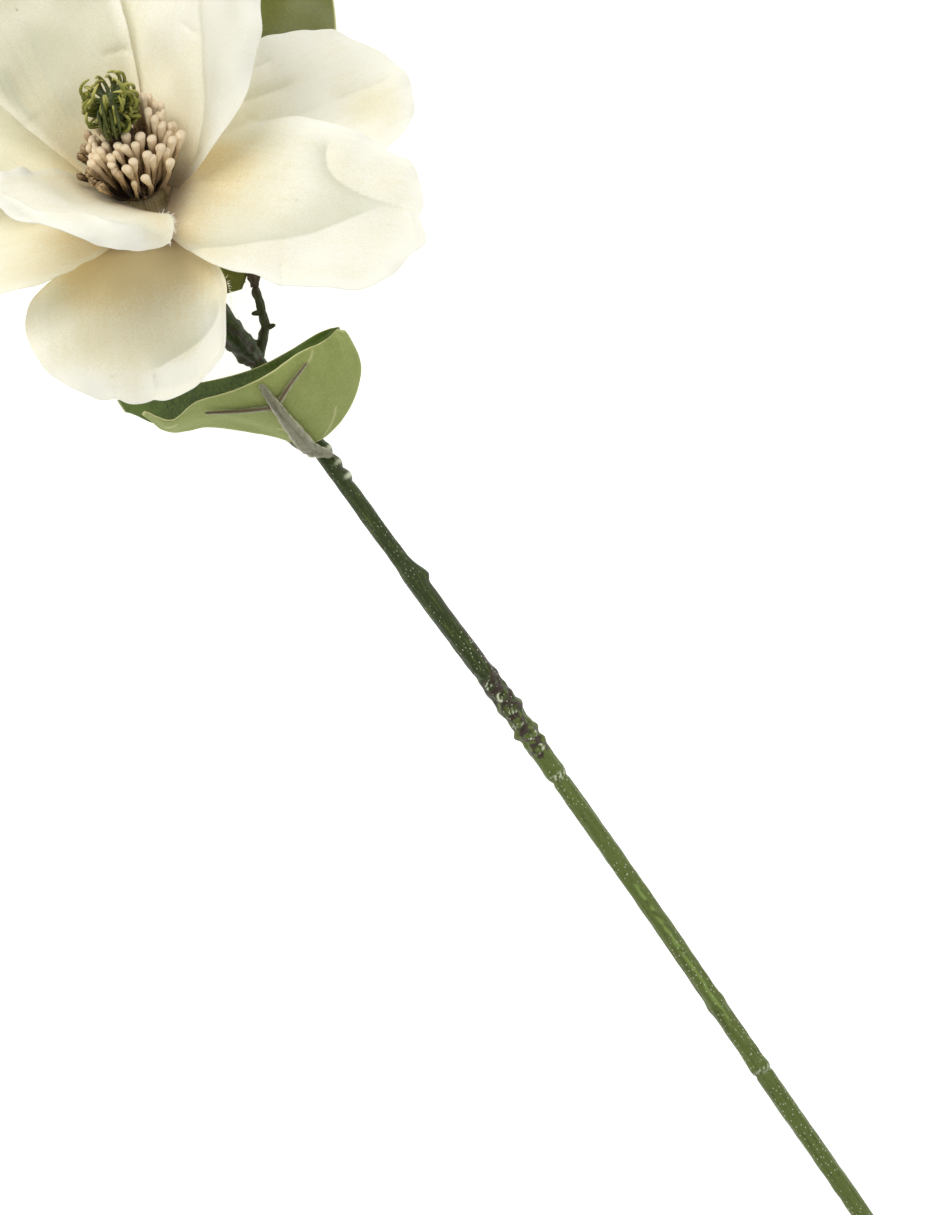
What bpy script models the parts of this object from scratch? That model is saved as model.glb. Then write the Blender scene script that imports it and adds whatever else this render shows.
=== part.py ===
"""An artificial magnolia lying on a table: one open bloom, a forked stem and four leaves.

The shapes are laid out as seen from above, in millimetres: x to the right, y up the sheet, z off the table,
with the stem running down to the right. The layout is then turned so that the stem lies along Y.
"""

import math

import bpy
import numpy as np

MM = 0.001
SEED = 11

# Placing of the layout in the row frame
STEM_LEAN = math.radians(35.3)
CENTRE_SHIFT = (-3.1, 179.4)

# Bloom: centre, axis and the direction that azimuths are measured from
BLOOM_CENTRE = (2.5, -3.2, 66.0)
BLOOM_AXIS = (-0.18, 0.68, 0.71)
BLOOM_EAST = (0.984, 0.124, 0.130)

# Blades
PETAL_THICKNESS = 0.7
LEAF_THICKNESS = 0.8
PETAL_ROWS = 12
PETAL_COLUMNS = 10
LEAF_ROWS = 12
LEAF_COLUMNS = 8
PATCH_ROWS = 16
PATCH_COLUMNS = 8
CURVE_SAMPLES = 160
CURVE_REACH = 1.06
RISE_BLUR = 25
SECTION_SAMPLES = 24
CURL_FROM = 0.3
RIM_FROM = 0.75
WAVE_TURNS = (15.0, 5.0)

# Petals: lengths in millimetres, angles in degrees; rise is the slope of the midrib from root to tip, and
# trim a straight cut across the left side, as its distance from the midrib at the root and its slope
PETALS = {
    "petal_inner_top_left": dict(
        azimuth=123.6, length=106.3, base=15.2, left=31.9, right=30.5, widest=0.67, claw=1.50, blunt=0.90,
        root=9.3, height=-1.9, rise=(51, 51, 49, 42), cup=(27, 21), roll=(6.9, 7.0), swing=3.0,
        curl=(0, 0), curl_on=0.60, wave=0.0),
    "petal_inner_top_right": dict(
        azimuth=62.0, length=100.0, base=21.7, left=35.5, right=37.0, widest=0.53, claw=2.06, blunt=0.90,
        root=8.6, height=-4.0, rise=(49, 52, 49, 43), cup=(19, 24), roll=(7.8, 11.3), swing=1.6,
        curl=(0, 75), curl_on=0.55, wave=0.0),
    "petal_inner_left": dict(
        azimuth=156.1, length=95.2, base=16.1, left=30.2, right=29.2, widest=0.64, claw=1.55, blunt=0.89,
        root=10.4, height=-4.9, rise=(27, 19, 9, -3), cup=(19, 14), roll=(-6.4, 3.6), swing=0.1,
        curl=(0, 0), curl_on=0.60, wave=0.0),
    "petal_inner_front": dict(
        azimuth=242.6, length=75.2, base=24.2, left=34.5, right=21.8, widest=0.32, claw=2.39, blunt=0.90,
        root=8.6, height=-0.1, rise=(44, 39, 37, 44), cup=(34, 13), roll=(8.1, 11.4), swing=-7.7,
        curl=(95, 0), curl_on=0.50, wave=0.0, trim=(11.0, 1.25)),
    "petal_outer_right": dict(
        azimuth=-11.3, length=88.9, base=22.7, left=36.0, right=34.5, widest=0.51, claw=2.27, blunt=0.79,
        root=8.6, height=-5.3, rise=(5, -11, -12, -13), cup=(21, 8), roll=(-11.8, -12.0), swing=0.1,
        curl=(0, 0), curl_on=0.60, wave=0.6),
    "petal_outer_upper_right": dict(
        azimuth=39.4, length=102.1, base=19.7, left=35.1, right=31.6, widest=0.57, claw=1.49, blunt=0.96,
        root=9.0, height=-10.0, rise=(7, -1, -8, -12), cup=(12, 2), roll=(-18.1, -19.9), swing=-3.4,
        curl=(0, 0), curl_on=0.60, wave=0.6),
    "petal_outer_bottom": dict(
        azimuth=267.2, length=59.3, base=21.0, left=32.1, right=42.1, widest=0.48, claw=2.14, blunt=0.98,
        root=10.9, height=-10.8, rise=(-25, -32, -39, -46), cup=(13, 21), roll=(-9.1, 3.6), swing=-1.1,
        curl=(0, 0), curl_on=0.60, wave=0.0),
    "petal_outer_left": dict(
        azimuth=189.3, length=91.6, base=20.3, left=36.4, right=35.2, widest=0.58, claw=1.92, blunt=0.89,
        root=8.6, height=-8.1, rise=(6, 1, -11, -27), cup=(14, 18), roll=(9.0, -6.6), swing=-1.9,
        curl=(0, 0), curl_on=0.60, wave=0.0),
    "petal_outer_back": dict(
        azimuth=110.0, length=92.0, base=17.0, left=31.0, right=31.0, widest=0.6, claw=1.8, blunt=0.9,
        root=9.0, height=-11.0, rise=(16, 10, 5, 3), cup=(16, 10), roll=(0.0, 0.0), swing=0.0,
        curl=(0, 0), curl_on=0.6, wave=0.0),
}

# Flat leaves on the side twig, and where each one starts
LEAVES = {
    "leaf_top": dict(
        start=(37.3, -24.8, 14.5), azimuth=88.7, length=135.0, base=7.0, left=29.3, right=27.8, widest=0.58,
        claw=1.8, blunt=0.97, root=0.0, height=0.0, rise=(-6, -7, -6, -4), cup=(10, 6), roll=(0.0, 0.0),
        swing=-1.3, curl=(0, 0), curl_on=0.6, wave=0.0),
    "leaf_small": dict(
        start=(34.7, -29.6, 15.4), azimuth=160.0, length=84.0, base=6.0, left=21.0, right=21.0, widest=0.5,
        claw=1.8, blunt=0.97, root=0.0, height=0.0, rise=(-2, -4, -5, -3), cup=(10, 6), roll=(0.0, 0.0),
        swing=0.0, curl=(0, 0), curl_on=0.6, wave=0.0),
}

# Broad leaves at the socket, each spread between a near edge and a far edge
LEAF_FRONT_NEAR = ((0.7, -78.6, 44.0), (10.1, -84.6, 39.0), (23.8, -82.7, 35.0), (41.7, -84.9, 31.0),
                   (59.2, -87.9, 28.5), (71.1, -78.6, 33.0), (77.1, -63.1, 42.0), (72.0, -49.3, 48.0))
LEAF_FRONT_FAR = ((1.7, -77.8, 47.0), (11.9, -81.2, 52.0), (20.5, -75.2, 56.0), (33.2, -71.6, 59.0),
                  (45.7, -65.9, 61.0), (55.9, -58.5, 59.0), (64.7, -54.1, 56.0), (70.4, -48.5, 51.0))
LEAF_BEHIND_NEAR = ((-9.6, -75.4, 0.4), (-0.2, -77.1, 5.0), (14.8, -79.3, 12.0), (33.2, -81.4, 19.0),
                    (52.5, -82.5, 25.0), (63.5, -72.5, 31.5), (69.8, -61.9, 38.0), (71.5, -51.0, 43.0))
LEAF_BEHIND_FAR = ((-12.5, -71.1, 0.4), (-3.9, -69.1, 4.0), (11.2, -66.8, 12.0), (26.9, -64.4, 20.0),
                   (40.1, -61.0, 27.5), (51.8, -55.5, 33.0), (61.9, -50.0, 39.0), (70.8, -47.2, 43.0))
LEAF_FRONT_BULGE = 4.0
LEAF_BEHIND_BULGE = 0.0

# Stem: route, radii and the knobs along it
STEM_ROUTE = ((267.8, -380.9, 3.15), (252.3, -358.9, 3.15), (220.1, -312.5, 4.2), (182.4, -257.5, 7.0),
              (145.7, -205.2, 10.0), (122.3, -172.1, 12.5), (91.6, -130.9, 15.5), (62.4, -90.7, 18.0),
              (39.3, -58.7, 19.0), (36.2, -54.4, 19.2))
STEM_RADIUS = 3.3
STEM_UPPER_RADIUS = 3.7
STEM_NECK_RADIUS = 3.05
STEM_SIDES = 12
STEM_STEP = 10.0
STEM_FLAT = 20.0
STEM_SAMPLES = 400
CLOSEST_RINGS = 1.2
KNOB_STRETCH = (222.0, 260.0)
KNOB_RINGS = 1.9
KNOB_WIDTH = 1.9
KNOBS = ((226.5, -90.0, 0.5), (227.0, 90.0, 0.5), (232.1, 90.0, 0.6), (232.5, -90.0, 1.1), (242.2, 95.0, 1.5),
         (243.6, -95.0, 0.9), (247.4, 90.0, 0.7), (250.9, -90.0, 0.6), (256.0, 80.0, 0.5))
SCARS = (224.9, 230.6, 236.3, 242.0, 247.7, 253.4)
SCAR_HEIGHT = 0.5
SLEEVE_AT = (83.0, 212.0)
SLEEVE_HEIGHT = 0.35
SLEEVE_WIDTH = 2.2
UPPER_BLEND = 4.0
NECK_BLEND = 10.0
BUD_BUMP_AT = 298.7
BUD_BUMP_HEIGHT = 1.6
SOCKET_AT = (344.0, 350.0, 356.0)
SOCKET_HEIGHT = 1.0
BUMP_WIDTH = 3.2
BUMP_STEP = 3.0
BRANCH_ROUTE = ((39.3, -58.7, 19.0), (35.0, -54.1, 24.0), (27.8, -45.5, 32.0), (17.3, -31.7, 42.0),
                (8.2, -19.5, 49.0), (5.3, -13.6, 54.6))
BRANCH_RADII = (3.0, 4.4, 5.2, 4.6, 4.0, 4.0)
BRANCH_RINGS = 13
TWIG_ROUTE = ((39.3, -58.7, 19.0), (40.7, -52.7, 19.5), (42.2, -46.6, 19.5), (41.1, -40.9, 19.0),
              (39.6, -35.8, 18.0), (38.4, -31.8, 17.2))
TWIG_RADII = (2.2, 1.8, 1.6, 1.5, 1.5, 1.7)
TWIG_RINGS = 11
TWIG_NUBS = ((2, (1.0, 0.3, 0.2)), (3, (-1.0, -0.2, 0.3)), (1, (-1.0, 0.5, 0.2)))
NUB_LENGTH = 4.0
NUB_RADIUS = 1.1
NUB_SIDES = 6
TWIG_BUD = ((38.2, -30.4, 17.2), (38.0, -28.6, 17.3), (37.6, -26.4, 17.4))
TWIG_BUD_RADII = (1.6, 2.5, 2.2)

# Receptacle: heights along the bloom axis and radii
RECEPTACLE_PROFILE = ((-14.2, 4.0), (-12.0, 6.0), (-9.0, 7.8), (-1.5, 7.8), (0.2, 6.6))
RECEPTACLE_SIDES = 16
CORE_SIDES = 12

# Stamens: the core, then the filaments with club heads
STAMEN_CORE = ((0.6, 6.4), (4.0, 6.0), (12.0, 4.4), (24.8, 4.0))
STAMEN_COUNT = 45
STAMEN_SIDES = 5
STAMEN_RADIUS = 0.95
CLUB_RADIUS = 1.5
CLUB_LENGTH = 7.0
STAMEN_SPREAD = (16.2, 9.2)
STAMEN_TIP = (18.0, 26.5)
STAMEN_ROOT = (1.6, 2.6)
STAMEN_BASE = (6.4, 3.0)
STAMEN_BEND = (1.3, 0.75)
STAMEN_LIFT = (3.0, 5.0)
STAMEN_LIFT_AT = math.radians(45.0)
STAMEN_RINGS = 4
CLUB_RINGS = (0.35, 0.75, 1.0)
CLUB_TIP = 0.55
STAMEN_SCATTER = (0.08, 0.6, 1.2)
GOLDEN_ANGLE = math.pi * (3.0 - math.sqrt(5.0))

# Pistil: the core, then the curled styles
PISTIL_CORE = ((25.6, 3.4), (29.2, 5.4), (34.2, 6.2), (38.5, 4.8), (41.5, 1.6))
PISTIL_SHIFT = 0.8
STYLE_COUNT = 40
STYLE_SIDES = 4
STYLE_RADII = (0.95, 0.85, 0.75, 0.65, 0.45)
STYLE_REACH = 5.4
STYLE_SCATTER = (0.8, 1.2)
STYLE_SINK = 1.5
STYLE_HOOK = math.radians(235.0)

# Plastic midribs with their stalks: where each stalk starts, then shares of the blade's rows and columns
FRONT_STALK = ((66.4, -92.0, 23.4),)
FRONT_RIB = ((0.571, 0.02), (0.56, 0.2), (0.545, 0.5), (0.535, 0.8), (0.53, 0.97))
FRONT_RIB_RADII = (1.3, 2.6, 3.0, 2.2, 1.5, 1.0)
FRONT_SIDE_RIBS = (((0.54, 0.62), (0.62, 0.78), (0.72, 0.86)), ((0.545, 0.6), (0.42, 0.62), (0.3, 0.66)))
SIDE_RIB_RADII = (1.0, 0.8, 0.5)
BEHIND_RIB = ((54.8, -89.2, 18.5), (48.5, -84.6, 19.2), (38.0, -80.4, 16.6), (24.0, -77.6, 12.4))
LEAF_RIB = ((0.0, 0.5), (0.15, 0.5), (0.3, 0.5), (0.45, 0.5))
RIB_RADII = (1.3, 1.3, 1.0, 0.6)
RIB_SIDES = 8
BEHIND_RIB_RINGS = 8
RIB_GAP = 0.5


def unit(vector):
    """The vector at length one."""
    vector = np.asarray(vector, float)
    return vector / np.linalg.norm(vector)


def smooth(share):
    """An S-shaped ramp from 0 to 1."""
    share = np.clip(share, 0.0, 1.0)
    return share * share * (3.0 - 2.0 * share)


def curve_through(points, count):
    """Catmull-Rom curve through the points, read at evenly spaced parameters."""
    points = np.asarray(points, float)
    padded = np.vstack([2 * points[0] - points[1], points, 2 * points[-1] - points[-2]])
    at = np.linspace(0.0, len(points) - 1.0, count)
    span = np.minimum(at.astype(int), len(points) - 2)
    part = (at - span)[:, None]
    a, b, c, d = (padded[span + k] for k in range(4))
    return 0.5 * (2 * b + (c - a) * part + (2 * a - 5 * b + 4 * c - d) * part ** 2
                  + (3 * b - a - 3 * c + d) * part ** 3)


def spread(values, count):
    """The values read at count evenly spaced places."""
    return np.interp(np.linspace(0, 1, count), np.linspace(0, 1, len(values)), values)


def to_row(points):
    """Layout millimetres to row metres, with the stem turned along Y."""
    points = np.asarray(points, float)
    cos_lean, sin_lean = math.cos(STEM_LEAN), math.sin(STEM_LEAN)
    x = points[..., 0] * cos_lean + points[..., 1] * sin_lean + CENTRE_SHIFT[0]
    y = -points[..., 0] * sin_lean + points[..., 1] * cos_lean + CENTRE_SHIFT[1]
    return np.stack([x, y, points[..., 2]], axis=-1) * MM


def material(name, colour, roughness):
    """A plain finish for one kind of piece."""
    finish = bpy.data.materials.get(name)
    if finish is None:
        finish = bpy.data.materials.new(name)
        finish.use_nodes = True
        shader = finish.node_tree.nodes["Principled BSDF"]
        shader.inputs["Base Color"].default_value = (*colour, 1.0)
        shader.inputs["Roughness"].default_value = roughness
        shader.inputs["Metallic"].default_value = 0.0
    return finish


def add_piece(name, points, faces, finish):
    """One closed mesh object from layout points, none of it lower than the table."""
    points = np.array(points, float)
    points[:, 2] = np.maximum(points[:, 2], 0.0)
    mesh = bpy.data.meshes.new(name)
    mesh.from_pydata(to_row(points).tolist(), [], [list(map(int, face)) for face in faces])
    mesh.materials.append(finish)
    mesh.shade_smooth()
    piece = bpy.data.objects.new(name, mesh)
    bpy.context.scene.collection.objects.link(piece)
    return piece


def flat_outline(along, across, shape):
    """Flat outline of a blade: a claw that widens to the widest line, then a rounded end."""
    widest, length = shape["widest"], shape["length"]
    half = np.where(across < 0, shape["left"], shape["right"])
    share = np.clip(along / widest, 0.0, 1.0)
    grown = 1.0 - (1.0 - share) ** shape["claw"]
    end = np.clip((along - widest) / (1.0 - widest), 0.0, 1.0)
    in_end = along > widest
    width = shape["base"] / 2 + (half - shape["base"] / 2) * grown
    if "trim" in shape:
        cut = shape["trim"][0] + shape["trim"][1] * along * length
        width = np.where(across < 0, np.minimum(width, cut), width)
    x_claw = across * width
    x_end = across * np.sqrt(1.0 - shape["blunt"] * end ** 2 / 2) * half
    y_end = (widest + (1.0 - widest) * end * np.sqrt(1.0 - shape["blunt"] * across ** 2 / 2)) * length
    return np.where(in_end, x_end, x_claw), np.where(in_end, y_end, along * length)


def blade_grid(shape, origin, axis, east, rows, columns):
    """Middle surface of a blade bent along its midrib, cupped across it and curled at its edges."""
    axis = unit(axis)
    east = unit(np.asarray(east, float) - np.dot(east, axis) * axis)
    north = np.cross(axis, east)
    along, across = np.meshgrid(np.linspace(0, 1, rows + 1), np.linspace(-1, 1, columns + 1), indexing="ij")
    x, y = flat_outline(along, across, shape)
    half = np.where(x < 0, shape["left"], shape["right"])

    at = np.linspace(0.0, CURVE_REACH, CURVE_SAMPLES)
    rise = np.radians(np.interp(at, np.linspace(0, 1, len(shape["rise"])), shape["rise"]))
    padded = np.pad(rise, RISE_BLUR // 2, mode="edge")
    rise = np.convolve(padded, np.ones(RISE_BLUR) / RISE_BLUR, mode="valid")
    turn = np.radians(shape["azimuth"] + shape["swing"] * at ** 1.5)
    out = np.cos(turn)[:, None] * east + np.sin(turn)[:, None] * north
    tangent = np.cos(rise)[:, None] * out + np.sin(rise)[:, None] * axis
    normal = -np.sin(rise)[:, None] * out + np.cos(rise)[:, None] * axis
    side = np.cross(tangent, normal)
    steps = (tangent[1:] + tangent[:-1]) / 2 * (at[1] - at[0]) * shape["length"]
    midrib = np.vstack([np.zeros(3), np.cumsum(steps, axis=0)])
    midrib = midrib + np.asarray(origin) + shape["root"] * out[0] + shape["height"] * axis
    roll = np.radians(shape["roll"][0] + (shape["roll"][1] - shape["roll"][0]) * at)[:, None]
    side, normal = np.cos(roll) * side + np.sin(roll) * normal, np.cos(roll) * normal - np.sin(roll) * side

    station = np.clip(y / shape["length"], 0.0, CURVE_REACH)
    here = [np.stack([np.interp(station, at, line[:, k]) for k in range(3)], axis=-1)
            for line in (midrib, side, normal)]
    share = (np.arange(SECTION_SAMPLES) + 0.5) / SECTION_SAMPLES
    reach = np.abs(x / half)[..., None] * share
    cup = np.radians(shape["cup"][0] + (shape["cup"][1] - shape["cup"][0]) * station)[..., None]
    curl = np.where(x < 0, *np.radians(shape["curl"])) * smooth(station / CURL_FROM)
    bend = cup * reach - curl[..., None] * smooth((reach - shape["curl_on"]) / (1.0 - shape["curl_on"]))
    across_mm = x * np.cos(bend).mean(axis=-1)
    lift = np.abs(x) * np.sin(bend).mean(axis=-1)
    rim = np.maximum(reach[..., -1], smooth((station - RIM_FROM) / (1.0 - RIM_FROM))) ** 3
    lift = lift + shape["wave"] * rim * np.sin(WAVE_TURNS[0] * station + WAVE_TURNS[1] * x / half)
    return here[0] + across_mm[..., None] * here[1] + lift[..., None] * here[2]


def patch_grid(near, far, bulge, rows, columns):
    """Surface spread between two edge curves, bulging towards the viewer in its middle."""
    low, high = curve_through(near, rows + 1), curve_through(far, rows + 1)
    part = np.linspace(0.0, 1.0, columns + 1)[None, :, None]
    grid = low[:, None, :] * (1 - part) + high[:, None, :] * part
    ends = np.sin(np.linspace(0.0, math.pi, rows + 1))[:, None]
    grid[..., 2] += bulge * ends * np.sin(math.pi * part[..., 0])
    return grid


def add_blade(name, grid, thickness, finish):
    """A closed blade round its middle surface, split into triangles alike on both faces, resting on z = 0."""
    grid = grid.copy()
    grid[..., 2] = np.maximum(grid[..., 2], thickness / 2)
    normal = blade_normals(grid)
    rows, columns = grid.shape[:2]
    half = normal * thickness / 2
    points = np.vstack([(grid + half).reshape(-1, 3), (grid - half).reshape(-1, 3)])
    index = np.arange(rows * columns).reshape(rows, columns)
    count = rows * columns
    faces = []
    for i in range(rows - 1):
        for j in range(columns - 1):
            a, b, c, d = index[i, j], index[i + 1, j], index[i + 1, j + 1], index[i, j + 1]
            halves = ((a, b, d), (b, c, d)) if j < (columns - 1) / 2 else ((a, b, c), (a, c, d))
            for face in halves:
                faces.append(face)
                faces.append(tuple(count + k for k in reversed(face)))
    border = np.concatenate([index[0, :], index[1:, -1], index[-1, -2::-1], index[-2:0:-1, 0]])
    for first, second in zip(border, np.roll(border, -1)):
        faces.append((first, second, count + second))
        faces.append((first, count + second, count + first))
    return add_piece(name, points, faces, finish)


def tube(name, route, radii, sides, finish, reference=(0.0, 0.0, 1.0)):
    """A closed tube along a route; radii is one number a ring, or one for each point of each ring."""
    route = np.asarray(route, float)
    radii = np.asarray(radii, float)
    if radii.ndim == 1:
        radii = np.repeat(radii[:, None], sides, axis=1)
    tangents = np.gradient(route, axis=0)
    tangents /= np.linalg.norm(tangents, axis=1, keepdims=True)
    angle = (np.arange(sides) + 0.5) * 2 * math.pi / sides
    points = []
    up = np.asarray(reference, float)
    for centre, tangent, ring in zip(route, tangents, radii):
        up = unit(up - np.dot(up, tangent) * tangent)
        side = np.cross(tangent, up)
        points.append(centre + ring[:, None] * (np.cos(angle)[:, None] * up + np.sin(angle)[:, None] * side))
    points = np.vstack(points + [route[:1], route[-1:]])
    first, last = len(points) - 2, len(points) - 1
    top = (len(route) - 1) * sides
    faces = []
    for k in range(sides):
        m = (k + 1) % sides
        for i in range(len(route) - 1):
            a = i * sides
            faces.append((a + k, a + sides + m, a + sides + k))
            faces.append((a + k, a + m, a + sides + m))
        faces.append((first, m, k))
        faces.append((last, top + k, top + m))
    return add_piece(name, points, faces, finish)


def fuse(name, pieces):
    """One body from overlapping pieces, under the first piece's mesh and the name given."""
    body, others = pieces[0], pieces[1:]
    body.name = body.data.name = name
    if not others:
        return body
    group = bpy.data.collections.new(name + "_parts")
    bpy.context.scene.collection.children.link(group)
    for other in others:
        bpy.context.scene.collection.objects.unlink(other)
        group.objects.link(other)
    union = body.modifiers.new("union", "BOOLEAN")
    union.operation = "UNION"
    union.solver = "MANIFOLD"
    union.operand_type = "COLLECTION"
    union.collection = group
    graph = bpy.context.evaluated_depsgraph_get()
    mesh = bpy.data.meshes.new_from_object(body.evaluated_get(graph))
    body.modifiers.clear()
    body.data = mesh
    mesh.name = name
    for other in others:
        bpy.data.objects.remove(other)
    bpy.data.collections.remove(group)
    return body


def blade_normals(grid):
    """Unit normals of a blade's middle surface."""
    normal = np.cross(np.gradient(grid, axis=0), np.gradient(grid, axis=1))
    return normal / np.linalg.norm(normal, axis=-1, keepdims=True)


def on_blade(grid, shares, offsets):
    """Points at the given shares of a blade's rows and columns, each held off the middle surface."""
    rows, columns = grid.shape[0] - 1, grid.shape[1] - 1
    normals = blade_normals(grid)
    found = []
    for (down, across), offset in zip(shares, offsets):
        i, j = min(int(down * rows), rows - 1), min(int(across * columns), columns - 1)
        p, q = down * rows - i, across * columns - j
        here = [(1 - p) * (1 - q) * field[i, j] + p * (1 - q) * field[i + 1, j]
                + (1 - p) * q * field[i, j + 1] + p * q * field[i + 1, j + 1] for field in (grid, normals)]
        found.append(here[0] + offset * here[1])
    return found


def along_axis(height, radius=0.0, azimuth=0.0):
    """Layout point at a height on the bloom axis and a distance from it."""
    axis = unit(BLOOM_AXIS)
    east = unit(np.asarray(BLOOM_EAST) - np.dot(BLOOM_EAST, axis) * axis)
    north = np.cross(axis, east)
    out = math.cos(azimuth) * east + math.sin(azimuth) * north
    return np.asarray(BLOOM_CENTRE) + height * axis + radius * out


def beside_axis(height, radius=0.0, azimuth=0.0):
    """Layout point round the pistil's own axis, which stands a little to the left of the bloom's."""
    return along_axis(height, radius, azimuth) + along_axis(0.0, PISTIL_SHIFT, math.pi) - along_axis(0.0)


def add_turned(name, profile, sides, finish, place=along_axis):
    """A body turned round the bloom axis, or round the pistil's."""
    route = [place(height) for height, _ in profile]
    return tube(name, route, [radius for _, radius in profile], sides, finish, BLOOM_EAST)


def stem_radii(distance, angles):
    """Radius of the main stem at each ring and side, from its cut end up: sleeves, knobs, bumps and neck."""
    s = distance[:, None]
    upper = smooth((s - SLEEVE_AT[1]) / UPPER_BLEND)
    radius = STEM_RADIUS + (STEM_UPPER_RADIUS - STEM_RADIUS) * upper
    radius = radius + (STEM_NECK_RADIUS - STEM_UPPER_RADIUS) * smooth((s - BUD_BUMP_AT) / NECK_BLEND)
    for place in SLEEVE_AT:
        radius = radius + SLEEVE_HEIGHT * np.exp(-((s - place) / SLEEVE_WIDTH) ** 2)
    for place, turn, height in KNOBS:
        lobe = np.clip(np.cos(angles - math.radians(turn)), 0.0, 1.0)[None, :]
        radius = radius + height * lobe * np.exp(-((s - place) / KNOB_WIDTH) ** 2)
    for place in SCARS:
        lobe = np.clip(np.cos(angles), 0.0, 1.0)[None, :] ** 2
        radius = radius + SCAR_HEIGHT * lobe * np.exp(-((s - place) / KNOB_WIDTH) ** 2)
    right = np.clip(np.sin(angles), 0.0, 1.0)[None, :] ** 2
    radius = radius + BUD_BUMP_HEIGHT * right * np.exp(-((s - BUD_BUMP_AT) / BUMP_WIDTH) ** 2)
    for place in SOCKET_AT:
        radius = radius + SOCKET_HEIGHT * right * np.exp(-((s - place) / (BUMP_WIDTH / 2)) ** 2)
    return radius


def build_stem(finish):
    """The main stem with its fork: the thick flower branch and the thin twig with its nubs."""
    fine = curve_through(STEM_ROUTE, STEM_SAMPLES)
    length = np.concatenate([[0.0], np.cumsum(np.linalg.norm(np.diff(fine, axis=0), axis=1))])
    detail = np.arange(*KNOB_STRETCH, KNOB_RINGS)
    places = SLEEVE_AT + (BUD_BUMP_AT,) + SOCKET_AT
    bumps = [place + step for place in places for step in (-BUMP_STEP, 0.0, BUMP_STEP)]
    coarse = np.arange(0.0, length[-1], STEM_STEP)
    distance = np.unique(np.concatenate([[0.0, STEM_FLAT, length[-1]], coarse, detail, bumps]))
    distance = distance[np.concatenate([[True], np.diff(distance) > CLOSEST_RINGS])]
    route = np.stack([np.interp(distance, length, fine[:, k]) for k in range(3)], axis=-1)
    angles = (np.arange(STEM_SIDES) + 0.5) * 2 * math.pi / STEM_SIDES
    radii = stem_radii(distance, angles)
    pieces = [tube("stem", route, radii, STEM_SIDES, finish)]
    branch = curve_through(BRANCH_ROUTE, BRANCH_RINGS)
    pieces.append(tube("branch", branch, spread(BRANCH_RADII, BRANCH_RINGS), STEM_SIDES, finish))
    twig = curve_through(TWIG_ROUTE, TWIG_RINGS)
    pieces.append(tube("twig", twig, spread(TWIG_RADII, TWIG_RINGS), RIB_SIDES, finish))
    for place, direction in TWIG_NUBS:
        root = np.asarray(TWIG_ROUTE[place], float)
        nub = [root, root + NUB_LENGTH / 2 * unit(direction), root + NUB_LENGTH * unit(direction)]
        pieces.append(tube("nub", nub, (NUB_RADIUS, NUB_RADIUS, NUB_RADIUS / 2), NUB_SIDES, finish))
    return fuse("stem", pieces)


def build_stamens(finish):
    """Club-headed filaments round a core, the outer ones shorter and spread wider, the far ones longer."""
    draw = np.random.default_rng(SEED)
    pieces = [add_turned("stamen_core", STAMEN_CORE, CORE_SIDES, finish)]
    for k in range(STAMEN_COUNT):
        share = k / (STAMEN_COUNT - 1)
        turn, outward, upward = (draw.normal(0.0, sigma) for sigma in STAMEN_SCATTER)
        azimuth = k * GOLDEN_ANGLE + turn
        base = STAMEN_BASE[0] + (STAMEN_BASE[1] - STAMEN_BASE[0]) * share
        far = max(0.0, math.cos(azimuth - STAMEN_LIFT_AT))
        reach = STAMEN_SPREAD[0] + (STAMEN_SPREAD[1] - STAMEN_SPREAD[0]) * share + outward - base
        reach = reach + STAMEN_LIFT[0] * far * share
        root = STAMEN_ROOT[0] + (STAMEN_ROOT[1] - STAMEN_ROOT[0]) * share
        climb = STAMEN_TIP[0] + (STAMEN_TIP[1] - STAMEN_TIP[0]) * share + upward - CLUB_LENGTH - root
        climb = climb + STAMEN_LIFT[1] * far
        filament = []
        for t in np.linspace(0.0, 1.0, STAMEN_RINGS):
            up, out = root + climb * t ** STAMEN_BEND[0], base + reach * t ** STAMEN_BEND[1]
            filament.append(along_axis(up, out, azimuth))
        lean = unit(filament[-1] - filament[-2])
        head = [filament[-1] + lean * CLUB_LENGTH * t for t in CLUB_RINGS]
        radii = (STAMEN_RADIUS,) * STAMEN_RINGS + (CLUB_RADIUS, CLUB_RADIUS, CLUB_RADIUS * CLUB_TIP)
        pieces.append(tube("filament", filament + head, radii, STAMEN_SIDES, finish, BLOOM_EAST))
    return fuse("stamens", pieces)


def build_pistil(finish):
    """Curled green styles all round a rounded core."""
    draw = np.random.default_rng(SEED + 1)
    pieces = [add_turned("pistil_core", PISTIL_CORE, CORE_SIDES, finish, beside_axis)]
    heights = [height for height, _ in PISTIL_CORE]
    radii = [radius for _, radius in PISTIL_CORE]
    for k in range(STYLE_COUNT):
        share = (k + 0.5) / STYLE_COUNT
        height = heights[1] + (heights[-1] - heights[1] - STYLE_SINK) * share
        start = np.interp(height, heights, radii) - STYLE_SINK
        reach = STYLE_REACH * draw.uniform(*STYLE_SCATTER)
        climb = 0.3 + 1.2 * share
        curve = []
        for t in np.linspace(0.0, 1.0, len(STYLE_RADII)):
            hook = t * STYLE_HOOK
            out = start + reach * (0.5 * math.sin(hook) + 0.7 * t)
            up = height + reach * climb * (0.6 * t + 0.18 * (1 - math.cos(hook)))
            curve.append(beside_axis(up, out, k * GOLDEN_ANGLE + 0.25 * t))
        pieces.append(tube("style", curve, STYLE_RADII, STYLE_SIDES, finish, BLOOM_EAST))
    return fuse("pistil", pieces)


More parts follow.
